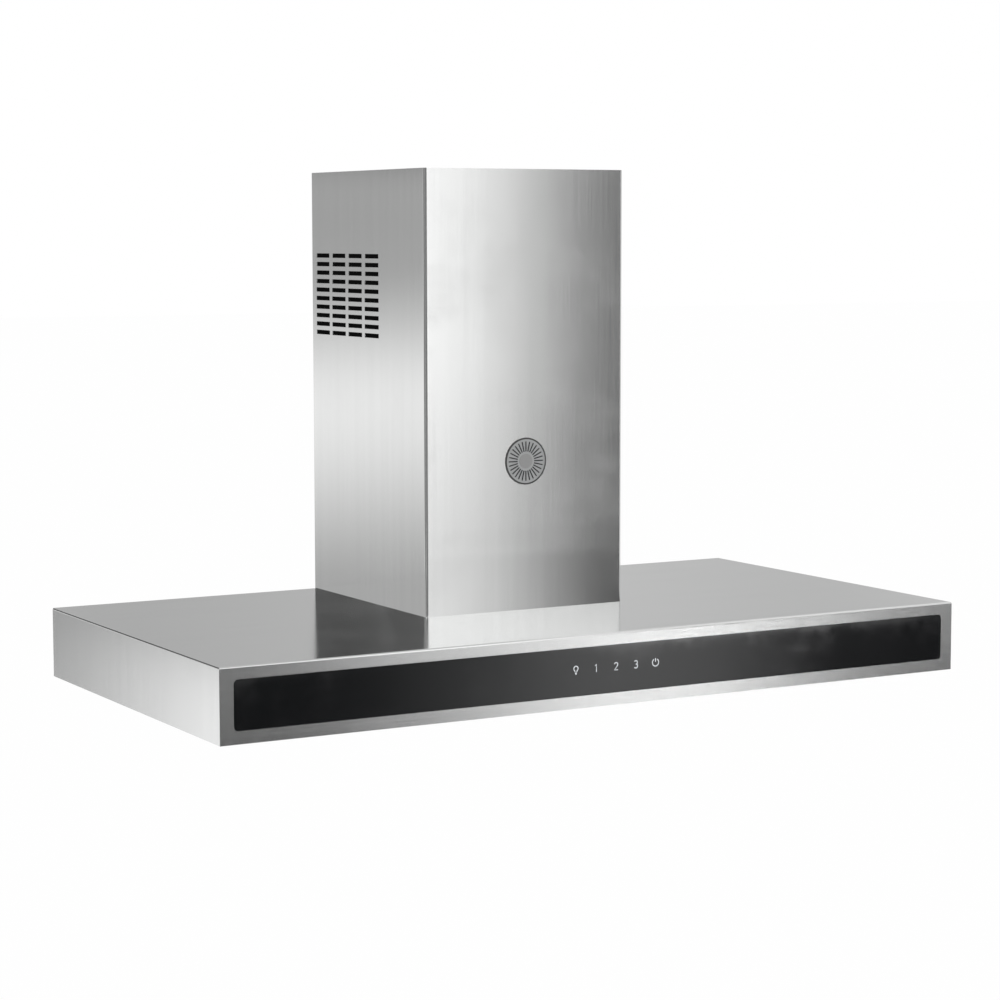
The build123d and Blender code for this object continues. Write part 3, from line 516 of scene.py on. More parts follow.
foot_height = canopy_high.z + foot_lift
foot_back = -chimney_front - foot_gap
foot_left, foot_right = -chimney_half - foot_gap, chimney_half + foot_margin
foot_shift = (foot_back - foot_front) * view_slant
room_card("foot_card", [
    (foot_left + left_slant * foot_shift, foot_front, foot_height),
    (foot_right + right_slant * foot_shift, foot_front, foot_height),
    (foot_right, foot_back, foot_height),
    (foot_left, foot_back, foot_height),
], foot_values)
beside_chimney = level(canopy_low.x, foot_back, foot_left, canopy_high.y, foot_height)
room_card("foot_card_left", beside_chimney, foot_values)
print("foot cards at", round(foot_height, 4))

# %% [markdown]
# On a wall, the chimney's open back is closed and its slots look into the dark. Two dark patches in the
# narrow gap between the covers stand in for that dark. Light and reflections pass them by, and they show
# from outside only, so that from behind the chimney's inside is lit and open.

# %% Dark behind the slots
inner_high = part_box("chimney_cover_upper")[1]
patch_aside = inner_high.x + 0.4 * MM
patch_back, patch_front = inner_high.y - 6.0 * MM, inner_high.y - 176.0 * MM
patch_low, patch_high = 368.0 * MM, 478.0 * MM
patch_value = 0.006

chimney_shadow, tree = new_material("chimney_shadow")
one_sided(tree, put(tree, "ShaderNodeBsdfDiffuse", {"Color": grey(patch_value)}))
for name, at, first, last in (
    ("slot_shadow_left", -patch_aside, patch_back, patch_front),
    ("slot_shadow_right", patch_aside, patch_front, patch_back),
):
    patch_base = [(at, first, patch_low), (at, last, patch_low)]
    patch_head = [(at, last, patch_high), (at, first, patch_high)]
    patch = stage_card(name, patch_base + patch_head, chimney_shadow)
    patch.visible_diffuse = False
    patch.visible_glossy = False
    patch.visible_shadow = False
print("patches inside the slots at", round(patch_aside, 4))

# %% [markdown]
# ## Shared surface effects
# Several finishes need the same effect with other values, so each effect is a node group made once. The
# first is the grain of brushed sheet: noise that is stretched a few hundred times along the brushing. It
# gives a fine value for hairlines and a slow one for the faint bands between passes of the belt.

# %% Group helpers
def new_group(name, inputs, outputs):
    """An empty shader group: inputs with their first values, and outputs that are plain values."""
    group = bpy.data.node_groups.new(name, "ShaderNodeTree")
    for label, value in inputs.items():
        kind = "NodeSocketVector" if isinstance(value, tuple) else "NodeSocketFloat"
        group.interface.new_socket(label, in_out="INPUT", socket_type=kind).default_value = value
    for label in outputs:
        group.interface.new_socket(label, in_out="OUTPUT", socket_type="NodeSocketFloat")
    return group, put(group, "NodeGroupInput").outputs, put(group, "NodeGroupOutput")


def noise(tree, position, scale, detail=2.0, roughness=0.5):
    """A noise value at a position."""
    sockets = {"Vector": position, "Scale": scale, "Detail": detail, "Roughness": roughness}
    return put(tree, "ShaderNodeTexNoise", sockets).outputs["Fac"]


def vectors(tree, kind, first, second):
    """Arithmetic on two vectors."""
    return put(tree, "ShaderNodeVectorMath", {0: first, 1: second}, operation=kind).outputs[0]


print("group helpers ready")

# %% Group: brushed grain
ORIGIN = (0.0, 0.0, 0.0)
UNSTRETCHED = (1.0, 1.0, 1.0)

brushed_grain, given, result = new_group(
    "brushed_grain",
    {"Position": ORIGIN, "Hairline Stretch": UNSTRETCHED, "Band Stretch": UNSTRETCHED},
    ["Hairlines", "Bands"],
)
along_hair = vectors(brushed_grain, "MULTIPLY", given["Position"], given["Hairline Stretch"])
along_band = vectors(brushed_grain, "MULTIPLY", given["Position"], given["Band Stretch"])
fine = noise(brushed_grain, along_hair, scale=1.0, detail=3.0, roughness=0.6)
slow = noise(brushed_grain, along_band, scale=1.0)
fill(brushed_grain, result, {
    "Hairlines": rescale(brushed_grain, fine, 0.25, 0.75),
    "Bands": rescale(brushed_grain, slow, 0.3, 0.7),
})
print("group", brushed_grain.name)

# %% [markdown]
# The second effect is handling: sheet and glass that people touch carry faint cloudy smears, which change
# the gloss and hardly the colour. A soft noise is thinned out until only patches are left, and a
# stretched noise breaks the patches up into wipes.

# %% Group: handling smears
wipe_stretch = (14.0, 70.0, 120.0)

handling, given, result = new_group("handling", {"Position": ORIGIN, "Patch Size": 12.0}, ["Smears"])
clouds = noise(handling, given["Position"], given["Patch Size"], detail=4.0, roughness=0.6)
patches = rescale(handling, clouds, 0.5, 0.8)
along_wipes = vectors(handling, "MULTIPLY", given["Position"], wipe_stretch)
wipes = noise(handling, along_wipes, scale=1.0, detail=3.0)
fill(handling, result, {"Smears": times(handling, patches, wipes)})
print("group", handling.name)

# %% [markdown]
# ## Brushed steel
# The canopy is folded from one sheet that was brushed along its width, so on the ends, which are folded
# down, the brushing stands upright. The chimney's sheet is brushed upright all round. Brushing spreads a
# reflection across the grain: the shader's anisotropy does that, and its tangent points across the grain.

# %% Finish helpers
finishes = {}


def new_finish(name):
    """A named finish: its tree, its Principled shader and its Object coordinates."""
    finishes[name], tree = new_material(name)
    shader = put(tree, "ShaderNodeBsdfPrincipled")
    put(tree, "ShaderNodeOutputMaterial", {"Surface": shader.outputs[0]})
    return tree, shader, put(tree, "ShaderNodeTexCoord").outputs["Object"]


def use(tree, group, sockets):
    """Place a group in a material with its own values."""
    return put(tree, "ShaderNodeGroup", sockets, node_tree=group).outputs


def raised(tree, height, depth):
    """A normal from a height, at a depth in metres."""
    sockets = {"Height": height, "Strength": 1.0, "Distance": depth}
    return put(tree, "ShaderNodeBump", sockets).outputs["Normal"]


def weighed(tree, first, second, share):
    """Two values added up: a share of the second, and the rest of the first."""
    return sums(tree, "ADD", times(tree, first, 1.0 - share), times(tree, second, share))


def shades(tree, factor, dark, light):
    """A colour between a dark and a light one."""
    return mix_colour(tree, factor, (*dark, 1.0), (*light, 1.0))


print("finish helpers ready")

# %% The brushed recipe
smear_roughness = 0.06
band_share = 0.4


def brushed_steel(name, dark, light, gloss, spread, across, hairlines, bands, depth=4e-6, turned=None):
    """Brushed sheet: colour and gloss follow the grain, and reflections spread across it."""
    tree, shader, position = new_finish(name)
    if turned:
        position = turned(tree, position)
    sockets = {"Position": position, "Hairline Stretch": hairlines, "Band Stretch": bands}
    grain = use(tree, brushed_grain, sockets)
    smears = use(tree, handling, {"Position": position, "Patch Size": 9.0})["Smears"]
    mixed = weighed(tree, grain["Hairlines"], grain["Bands"], band_share)
    rough = rescale(tree, grain["Hairlines"], 0.0, 1.0, *gloss)
    fill(tree, shader, {
        "Base Color": shades(tree, mixed, dark, light),
        "Metallic": 1.0,
        "Roughness": sums(tree, "ADD", rough, times(tree, smears, smear_roughness)),
        "Anisotropic": spread,
        "Tangent": point(tree, *across),
        "Normal": raised(tree, grain["Hairlines"], depth),
    })


print("brushed recipe ready")

# %% Canopy and chimney steel
sideways_from = 0.7


def upright_on_ends(tree, position):
    """A position whose X and Z change places on faces that look sideways: the grain stands upright."""
    normal = parts_of(tree, put(tree, "ShaderNodeNewGeometry").outputs["True Normal"])
    on_end = sums(tree, "GREATER_THAN", sums(tree, "ABSOLUTE", normal[0]), sideways_from)
    x, y, z = parts_of(tree, position)
    sockets = {0: on_end, 4: position, 5: point(tree, z, y, x)}
    return put(tree, "ShaderNodeMix", sockets, data_type="VECTOR").outputs[1]


brushed_steel(
    "canopy_steel", (0.78, 0.785, 0.785), (0.83, 0.835, 0.83), gloss=(0.12, 0.16), spread=0.55,
    across=(0.0, 1.0, 0.02), hairlines=(6.0, 2600.0, 2600.0), bands=(1.5, 90.0, 90.0),
    turned=upright_on_ends,
)
brushed_steel(
    "chimney_steel", (0.79, 0.795, 0.79), (0.84, 0.845, 0.84), gloss=(0.10, 0.135), spread=0.8,
    across=(1.0, 1.0, 0.0), hairlines=(2600.0, 2600.0, 6.0), bands=(90.0, 90.0, 1.5),
)
print("finishes:", list(finishes))

# %% [markdown]
# ## Black glass
# The strip is clear glass printed black on its back, so it looks like deep black with a clean skin of
# reflection. Nothing shines through, so an opaque near-black with a very low roughness does it, and light
# passing through doesn't have to be traced. Faint smears keep it from looking like plastic.

# %% Glass finish
def black_glass():
    """Polished glass over black print."""
    tree, shader, position = new_finish("black_glass")
    smears = use(tree, handling, {"Position": position, "Patch Size": 14.0})["Smears"]
    fill(tree, shader, {
        "Base Color": shades(tree, smears, (0.004, 0.0045, 0.005), (0.012, 0.012, 0.013)),
        "Roughness": rescale(tree, smears, 0.0, 1.0, 0.035, 0.16),
        "IOR": 1.52,
        "Specular IOR Level": 0.78,
    })


black_glass()
print("glass ready")

# %% [markdown]
# ## The duller sheets
# Below the hood the panel and the filters are brushed too, but more coarsely than what shows from the
# front, and the filters are brushed along their channels. The same recipe serves, with a rougher gloss
# and another direction.

# %% Panel and filter steel
brushed_steel(
    "panel_steel", (0.62, 0.625, 0.63), (0.72, 0.725, 0.73), gloss=(0.24, 0.34), spread=0.6,
    across=(0.0, 1.0, 0.02), hairlines=(8.0, 1900.0, 1900.0), bands=(2.0, 70.0, 70.0), depth=5e-6,
)
brushed_steel(
    "filter_steel", (0.60, 0.605, 0.61), (0.73, 0.735, 0.74), gloss=(0.22, 0.34), spread=0.6,
    across=(1.0, 0.0, 1.0), hairlines=(1900.0, 8.0, 1900.0), bands=(70.0, 3.0, 70.0), depth=5e-6,
)
print("panel and filter steel ready")

# %% [markdown]
# ## Galvanised sheet
# The blower box, its brackets and the wall hooks are zinc coated. Hot zinc freezes in flat crystals, each
# of which catches the light a little differently. Voronoi cells make the crystals: a noise bends their
# edges, every cell gets its own shade and gloss, and a finer noise clouds it as handling does.

# %% Zinc
crystal_bend = 0.012


def zinc_steel():
    """Zinc-coated sheet with crystals."""
    tree, shader, position = new_finish("zinc_steel")
    wobble = put(tree, "ShaderNodeTexNoise", {"Vector": position, "Scale": 60.0, "Detail": 3.0})
    bent = vectors(tree, "MULTIPLY", wobble.outputs["Color"], (crystal_bend,) * 3)
    bent = vectors(tree, "ADD", position, bent)
    crystals = put(tree, "ShaderNodeTexVoronoi", {"Vector": bent, "Scale": 95.0})
    shade = put(tree, "ShaderNodeSeparateColor", {0: crystals.outputs["Color"]}).outputs
    cloud = noise(tree, position, scale=900.0, detail=3.0)
    mixed = weighed(tree, shade[0], cloud, share=0.3)
    fill(tree, shader, {
        "Base Color": shades(tree, mixed, (0.44, 0.46, 0.48), (0.68, 0.70, 0.72)),
        "Metallic": 1.0,
        "Roughness": rescale(tree, shade[1], 0.0, 1.0, 0.30, 0.50),
        "Normal": raised(tree, cloud, depth=4e-6),
    })


zinc_steel()
print("zinc ready")

# %% [markdown]
# ## Moulded plastic, rubber and foam
# Moulded parts take the skin of their mould: a fine leather-like grain, with slow differences in shade
# where the melt cooled unevenly. One group gives both values, and each plastic, rubber or paint uses it
# with its own colour, gloss and grain size.

# %% Moulded finishes
moulded_skin, given, result = new_group(
    "moulded_skin", {"Position": ORIGIN, "Grain": 1500.0, "Mottle": 30.0}, ["Skin", "Shade"],
)
leather = noise(moulded_skin, given["Position"], given["Grain"])
melt = noise(moulded_skin, given["Position"], given["Mottle"], detail=3.0)
fill(moulded_skin, result, {
    "Skin": rescale(moulded_skin, leather, 0.3, 0.7),
    "Shade": rescale(moulded_skin, melt, 0.3, 0.7),
})


def moulded(name, dark, light, gloss, grain, depth=3e-5):
    """Plastic, rubber, foam or paint with a moulded skin."""
    tree, shader, position = new_finish(name)
    skin = use(tree, moulded_skin, {"Position": position, "Grain": grain, "Mottle": 28.0})
    fill(tree, shader, {
        "Base Color": shades(tree, skin["Shade"], dark, light),
        "Roughness": rescale(tree, skin["Skin"], 0.0, 1.0, *gloss),
        "Normal": raised(tree, skin["Skin"], depth),
    })


moulded("black_plastic", (0.022, 0.022, 0.024), (0.034, 0.034, 0.036), gloss=(0.38, 0.52), grain=1600.0)
moulded("grey_plastic", (0.27, 0.28, 0.29), (0.34, 0.35, 0.36), gloss=(0.40, 0.54), grain=1400.0)
moulded("impeller_plastic", (0.07, 0.07, 0.075), (0.10, 0.10, 0.105), gloss=(0.36, 0.50), grain=1400.0)
moulded("latch_plastic", (0.038, 0.038, 0.04), (0.055, 0.055, 0.057), gloss=(0.34, 0.48), grain=1800.0)
moulded("key_rubber", (0.04, 0.04, 0.04), (0.06, 0.06, 0.06), gloss=(0.62, 0.78), grain=1200.0, depth=4e-5)
moulded("foam_tape", (0.02, 0.02, 0.02), (0.045, 0.045, 0.045), gloss=(0.80, 0.95), grain=700.0, depth=2e-4)
moulded("motor_steel", (0.09, 0.09, 0.095), (0.13, 0.13, 0.135), gloss=(0.28, 0.40), grain=500.0, depth=2e-5)
print("finishes so far:", len(finishes))

# %% [markdown]
# ## Small metals
# The shaft is ground, the springs are blued strip, and the capacitor is a drawn aluminium can with lines
# along its length. All three are the brushed recipe again: only the colour, the gloss and the direction
# of the lines differ.

# %% Shaft, spring and can
brushed_steel(
    "shaft_steel", (0.64, 0.64, 0.65), (0.76, 0.76, 0.77), gloss=(0.14, 0.24), spread=0.4,
    across=(1.0, 0.2, 0.1), hairlines=(3200.0, 60.0, 60.0), bands=(200.0, 8.0, 8.0), depth=3e-6,
)
brushed_steel(
    "spring_steel", (0.16, 0.18, 0.25), (0.34, 0.36, 0.42), gloss=(0.22, 0.32), spread=0.4,
    across=(0.0, 0.0, 1.0), hairlines=(12.0, 1800.0, 1800.0), bands=(40.0, 160.0, 160.0),
)
brushed_steel(
    "capacitor_can", (0.66, 0.66, 0.68), (0.80, 0.80, 0.81), gloss=(0.20, 0.30), spread=0.5,
    across=(0.0, 1.0, 1.0), hairlines=(10.0, 2200.0, 2200.0), bands=(3.0, 120.0, 120.0),
)
print("small metals ready")

# %% [markdown]
# ## Lamps under the canopy
# Each lamp is a turned aluminium housing with a frosted lens. Turning leaves rings about the lamp's own
# axis, and the lens is moulded with rings that spread the light. The two lamps mirror each other, so the
# distance from an axis can be measured from the absolute value of X, and one finish fits both.

# %% Group: turned rings
turned_rings, given, result = new_group(
    "turned_rings", {"Position": ORIGIN, "Aside": 0.0, "Forward": 0.0, "Rings": 4000.0}, ["Lines", "Radius"],
)
x, y, _ = parts_of(turned_rings, given["Position"])
from_axis = sums(turned_rings, "SUBTRACT", sums(turned_rings, "ABSOLUTE", x), given["Aside"])
from_front = sums(turned_rings, "SUBTRACT", y, given["Forward"])
radius = length(turned_rings, point(turned_rings, from_axis, from_front))
wave = sums(turned_rings, "SINE", times(turned_rings, radius, given["Rings"]))
fill(turned_rings, result, {"Lines": rescale(turned_rings, wave, -1.0, 1.0), "Radius": radius})

lamp_places = []
for side in ("left", "right"):
    lens_low, lens_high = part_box("lamp_lens_" + side)
    lamp_places.append((lens_low + lens_high) / 2)
lamp_axis = {"Aside": lamp_places[1].x, "Forward": lamp_places[1].y}
print("lamps at", [tuple(round(c, 3) for c in place) for place in lamp_places])

# %% Lamp housing and lens
def lamp_metal():
    """Turned aluminium with rings about the lamp's axis."""
    tree, shader, position = new_finish("lamp_metal")
    lines = use(tree, turned_rings, {"Position": position, **lamp_axis, "Rings": 9000.0})["Lines"]
    mixed = weighed(tree, lines, noise(tree, position, scale=120.0, detail=3.0), share=0.4)
    fill(tree, shader, {
        "Base Color": shades(tree, mixed, (0.66, 0.66, 0.67), (0.80, 0.80, 0.81)),
        "Metallic": 1.0,
        "Roughness": rescale(tree, mixed, 0.0, 1.0, 0.24, 0.36),
        "Normal": raised(tree, lines, depth=6e-6),
    })


def lamp_lens():
    """Frosted moulded lens with spreading rings."""
    tree, shader, position = new_finish("lamp_lens")
    lines = use(tree, turned_rings, {"Position": position, **lamp_axis, "Rings": 3600.0})["Lines"]
    frost = noise(tree, position, scale=2500.0)
    fill(tree, shader, {
        "Base Color": shades(tree, frost, (0.88, 0.89, 0.88), (0.96, 0.96, 0.94)),
        "Roughness": rescale(tree, frost, 0.3, 0.7, 0.16, 0.30),
        "IOR": 1.49,
        "Transmission Weight": 0.85,
        "Normal": raised(tree, lines, depth=6e-5),
    })


lamp_metal()
lamp_lens()
print("lamp finishes ready")

# %% [markdown]
# ## Circuit boards
# A board is green solder resist over copper. The copper shows as slightly raised, lighter tracks, and
# bare pads are tinned. The edges between Voronoi cells make the tracks. A second set of cells, measured
# with a Manhattan distance, makes the pads: close to a cell's middle that distance gives a small square
# on its corner.

# %% Board finish
track_core, track_edge = 0.05, 0.09
pad_core, pad_edge = 0.16, 0.20


def circuit_board():
    """Solder resist with tracks and tinned pads."""
    tree, shader, position = new_finish("circuit_board")
    cells = {"Vector": position, "Scale": 260.0}
    tracks = put(tree, "ShaderNodeTexVoronoi", cells, feature="DISTANCE_TO_EDGE")
    track = rescale(tree, tracks.outputs["Distance"], track_core, track_edge, 1.0, 0.0)
    spots = put(tree, "ShaderNodeTexVoronoi", {"Vector": position, "Scale": 210.0}, distance="MANHATTAN")
    pad = rescale(tree, spots.outputs["Distance"], pad_core, pad_edge, 1.0, 0.0)
    resist = shades(tree, track, (0.02, 0.13, 0.05), (0.05, 0.24, 0.10))
    fill(tree, shader, {
        "Base Color": mix_colour(tree, pad, resist, (0.66, 0.66, 0.64, 1.0)),
        "Metallic": pad,
        "Roughness": rescale(tree, track, 0.0, 1.0, 0.30, 0.38),
        "Normal": raised(tree, track, depth=3e-5),
    })


circuit_board()
print("board ready")

# %% [markdown]
# ## Dressing the CAD pieces
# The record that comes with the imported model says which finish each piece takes. A CAD piece keeps its
# shape and its place: only its material changes.

# %% Dress
for part in frame["record"]["subparts"]:
    slots = frame["nodes"][part["node"]].data.materials
    slots.clear()
    slots.append(finishes[part["material_slot"]])

# %% [markdown]
# ## Growing small pieces from points
# Screws, rivets and the like repeat, so each kind is one Geometry Nodes tree that sets its shape on given
# points. A tree needs an object to work on: a maker object carries the points, the tree grows the pieces,
# and the result is kept as one plain mesh. The maker is thrown away, so no modifier is left on what the
# hood carries.

# %% Tree helpers
def new_maker(name, inputs):
    """An empty Geometry Nodes tree with named inputs."""
    tree = bpy.data.node_groups.new(name, "GeometryNodeTree")
    tree.interface.new_socket("Geometry", in_out="INPUT", socket_type="NodeSocketGeometry")
    for label, kind in inputs.items():
        tree.interface.new_socket(label, in_out="INPUT", socket_type="NodeSocket" + kind)
    tree.interface.new_socket("Finish", in_out="INPUT", socket_type="NodeSocketMaterial")
    tree.interface.new_socket("Geometry", in_out="OUTPUT", socket_type="NodeSocketGeometry")
    return tree, put(tree, "NodeGroupInput").outputs


def on_points(tree, points, shape, **sockets):
    """A shape set on every point."""
    sockets = {"Points": points, "Instance": shape, **sockets}
    return put(tree, "GeometryNodeInstanceOnPoints", sockets).outputs[0]


def close_maker(tree, given, grown):
    """End a tree: real geometry, with its finish."""
    real = put(tree, "GeometryNodeRealizeInstances", {"Geometry": grown})
    sockets = {"Geometry": real.outputs[0], "Material": given["Finish"]}
    painted = put(tree, "GeometryNodeSetMaterial", sockets)
    put(tree, "NodeGroupOutput", {"Geometry": painted.outputs[0]})


print("tree helpers ready")

# %% The grower
def settle(name, mesh, body):
    """Keep a finished mesh as a piece that rides on a body."""
    piece = bpy.data.objects.new(name, mesh)
    scene.collection.objects.link(piece)
    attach(piece, body)
    print(name, "faces:", len(mesh.polygons))
    return piece


def grow(name, tree, points, sizes, body, slot, finish=None, edges=(), place=None):
    """Run a tree on points, in metres, put the result in its place and keep it."""
    seed_mesh = bpy.data.meshes.new(name + "_points")
    seed_mesh.from_pydata([tuple(at) for at in points], list(edges), [])
    maker = bpy.data.objects.new(name + "_maker", seed_mesh)
    scene.collection.objects.link(maker)
    modifier = maker.modifiers.new("grow", "NODES")
    modifier.node_group = tree
    values = {"Finish": finishes[finish or slot], **sizes}
    for socket in tree.interface.items_tree:
        if socket.in_out == "INPUT" and socket.name in values:
            modifier[socket.identifier] = values[socket.name]
    grown = maker.evaluated_get(bpy.context.evaluated_depsgraph_get())
    mesh = bpy.data.meshes.new_from_object(grown)
    mesh.name = name
    bpy.data.objects.remove(maker)
    if place:
        mesh.transform(place)
    return settle(name, mesh, body)


print("grower ready")

# %% [markdown]
# ## Screws
# Sheet-metal pieces are held by low pan-head screws with a cross recess. The head is a short cylinder
# under a blunt cone, joined into one body, and two crossed bars cut the recess. Each screw is turned by
# chance, from a fixed seed, because no fitter lines them up. One rotation input points the whole row the
# right way.

# %% Screw head
head_sides = 24
shoulder_share = 0.45
crown_share = 0.72
recess_share = 1.05
recess_reach = 1.1


def raised_by(tree, shape, height):
    """Geometry moved up."""
    sockets = {"Geometry": shape, "Translation": point(tree, 0.0, 0.0, height)}
    return put(tree, "GeometryNodeTransform", sockets).outputs[0]


screw_tree, given = new_maker("pan_head_screws", {
    "Head Radius": "Float", "Head Height": "Float", "Recess Width": "Float", "Facing": "Rotation",
})
head_radius, head_height, recess_width = given["Head Radius"], given["Head Height"], given["Recess Width"]
shoulder = times(screw_tree, head_height, shoulder_share)
skirt = put(screw_tree, "GeometryNodeMeshCylinder", {
    "Vertices": head_sides, "Radius": head_radius, "Depth": shoulder,
})
crown = put(screw_tree, "GeometryNodeMeshCone", {
    "Vertices": head_sides,
    "Radius Top": times(screw_tree, head_radius, crown_share),
    "Radius Bottom": head_radius,
    "Depth": sums(screw_tree, "SUBTRACT", head_height, shoulder),
})
head = put(screw_tree, "GeometryNodeMeshBoolean", operation="UNION", solver="EXACT")
skirt_middle = times(screw_tree, shoulder, 0.5)
for shape, height in ((skirt.outputs["Mesh"], skirt_middle), (crown.outputs["Mesh"], shoulder)):
    screw_tree.links.new(raised_by(screw_tree, shape, height), head.inputs["Mesh 2"])

recessed = put(screw_tree, "GeometryNodeMeshBoolean", {"Mesh 1": head.outputs["Mesh"]}, solver="EXACT")
bar_length = times(screw_tree, head_radius, recess_share)
bar_depth = times(screw_tree, head_height, recess_reach)
for bar_sides in ((bar_length, recess_width), (recess_width, bar_length)):
    bar = put(screw_tree, "GeometryNodeMeshCube", {"Size": point(screw_tree, *bar_sides, bar_depth)})
    screw_tree.links.new(raised_by(screw_tree, bar.outputs["Mesh"], head_height), recessed.inputs["Mesh 2"])
print("screw head of", head_sides, "sides")

# %% Screw tree
screw_seed = 7

turn = {"Min": 0.0, "Max": math.pi / 2, "Seed": screw_seed}
chance = put(screw_tree, "FunctionNodeRandomValue", turn, data_type="FLOAT").outputs["Value"]
spin = put(screw_tree, "FunctionNodeAxisAngleToRotation", {"Axis": (0.0, 0.0, 1.0), "Angle": chance})
facing = put(screw_tree, "FunctionNodeRotateRotation", {
    "Rotation": spin.outputs[0], "Rotate By": given["Facing"],
}, rotation_space="GLOBAL")
screws = on_points(screw_tree, given["Geometry"], recessed.outputs["Mesh"], Rotation=facing.outputs[0])
close_maker(screw_tree, given, screws)
print("screw tree ready")

# %% [markdown]
# The panel's screws have flatter heads than the others, because it is the face one looks at from below.
# They run along its edge. The blower box's cover has a pressed field in its middle and is screwed round
# that field.

# %% Set the screws
flat_head = {"Head Radius": 3.2 * MM, "Head Height": 0.8 * MM, "Recess Width": 0.8 * MM}
pan_head = {"Head Radius": 3.4 * MM, "Head Height": 1.7 * MM, "Recess Width": 0.9 * MM}
facings = {
    "up": (0.0, 0.0, 0.0),
    "down": (math.pi, 0.0, 0.0),
    "front": (math.pi / 2, 0.0, 0.0),
    "right": (0.0, math.pi / 2, 0.0),
    "left": (0.0, -math.pi / 2, 0.0),
}


def set_screws(name, places, facing, body="canopy", head=pan_head):
    """A group of screws that look the same way."""
    grow(name, screw_tree, places, {**head, "Facing": facings[facing]}, body, "shaft_steel")


panel_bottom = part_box("underside_panel")[0].z
full_row, end_row = (-419, -140, 140, 419), (-419, 419)
panel_rows = ((-442, full_row), (-200, end_row), (-23, full_row))
panel_places = [(x * MM, y * MM, panel_bottom) for y, row in panel_rows for x in row]
set_screws("panel_screws", panel_places, "down", head=flat_head)

pressed_field = 1.0 * MM
cover_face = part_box("blower_box_cover")[0].y + pressed_field
cover_places = [(x, z) for x in (-106.5, 106.5) for z in (100, 227, 354)] + [(0, 83), (0, 371)]
set_screws("cover_screws", [(x * MM, cover_face, z * MM) for x, z in cover_places], "front")

# %% [markdown]
# Three more places take screws. The collar's flange is a disc with four round its edge. The chimney's
# wall bracket is screwed to the cover from inside, where the heads look at each other, and the lid of the
# electronics box is held at its corners.

# %% Flange, bracket and lid screws
flange_low, flange_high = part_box("collar_flange")
flange_middle = (flange_low + flange_high) / 2
flange_ring = 83.0 * MM
flange_places = []
for quarter in range(4):
    turn = math.radians(45 + 90 * quarter)
    away = Vector((math.cos(turn), math.sin(turn))) * flange_ring
    flange_places.append((flange_middle.x + away.x, flange_middle.y + away.y, flange_high.z))
set_screws("flange_screws", flange_places, "up")

bracket_low, bracket_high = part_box("chimney_bracket")
ear_thickness = 1.5 * MM
ear_inside = bracket_high.x - ear_thickness
ear_middle = (bracket_low.z + bracket_high.z) / 2
ear_forward = bracket_low.y + 15.0 * MM
set_screws("bracket_screw_left", [(-ear_inside, ear_forward, ear_middle)], "right", "chimney_upper")
set_screws("bracket_screw_right", [(ear_inside, ear_forward, ear_middle)], "left", "chimney_upper")


def corners_of(low, high, inset, back_inset=None):
    """Four places inside the corners of a box, on its underside."""
    across = (low.x + inset, high.x - inset)
    along = (low.y + inset, high.y - (back_inset or inset))
    return [(x, y, low.z) for x in across for y in along]


lid_inset = 7.0 * MM
set_screws("lid_screws", corners_of(*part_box("electronics_lid"), lid_inset), "down")

# %% [markdown]
# ## Rivets and grips on the filters
# A baffle filter's frame is riveted at its corners, with heads that stay low because the filter lies
# flush. A head is a sphere pressed flat, half sunk in the sheet. The latch's finger rib has small cross
# bars for grip. Both are shapes set on points, and each filter and each latch gets its own pieces,
# because they move by themselves.

# %% Rivet and bar trees
rivet_tree, given = new_maker("low_rivets", {"Head Radius": "Float", "Head Height": "Float"})
ball_sizes = {"Segments": 16, "Rings": 8, "Radius": given["Head Radius"]}
ball = put(rivet_tree, "GeometryNodeMeshUVSphere", ball_sizes).outputs["Mesh"]
flatness = sums(rivet_tree, "DIVIDE", given["Head Height"], given["Head Radius"])
pressed = {"Geometry": ball, "Scale": point(rivet_tree, 1.0, 1.0, flatness)}
dome = put(rivet_tree, "GeometryNodeTransform", pressed).outputs[0]
dome = put(rivet_tree, "GeometryNodeSetShadeSmooth", {"Geometry": dome}).outputs[0]
close_maker(rivet_tree, given, on_points(rivet_tree, given["Geometry"], dome))

bar_tree, given = new_maker("small_bars", {"Size": "Vector"})
block = put(bar_tree, "GeometryNodeMeshCube", {"Size": given["Size"]}).outputs["Mesh"]
close_maker(bar_tree, given, on_points(bar_tree, given["Geometry"], block))
print("trees:", rivet_tree.name, bar_tree.name)

# %% Rivets and grips
filter_places = ("left", "centre", "right")
rivet_inset, rivet_back_inset = 4.5 * MM, 13.5 * MM
rivet_sizes = {"Head Radius": 2.4 * MM, "Head Height": 0.7 * MM}
grip_count, grip_pitch = 9, 4.0 * MM
grip_back = 6.0 * MM
grip_sizes = {"Size": (1.2 * MM, 3.4 * MM, 0.8 * MM)}
for place in filter_places:
    corners = corners_of(*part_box("filter_frame_" + place), rivet_inset, rivet_back_inset)
    grow("filter_rivets_" + place, rivet_tree, corners, rivet_sizes, "filter_" + place, "filter_steel")
    latch_low, latch_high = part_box("filter_latch_" + place)
    rib_left = (latch_low.x + latch_high.x) / 2 - (grip_count - 1) / 2 * grip_pitch
    rib_middle = latch_high.y - grip_back
    grips = [(rib_left + step * grip_pitch, rib_middle, latch_low.z) for step in range(grip_count)]
    grow("latch_grips_" + place, bar_tree, grips, grip_sizes, "latch_" + place, "latch_plastic")
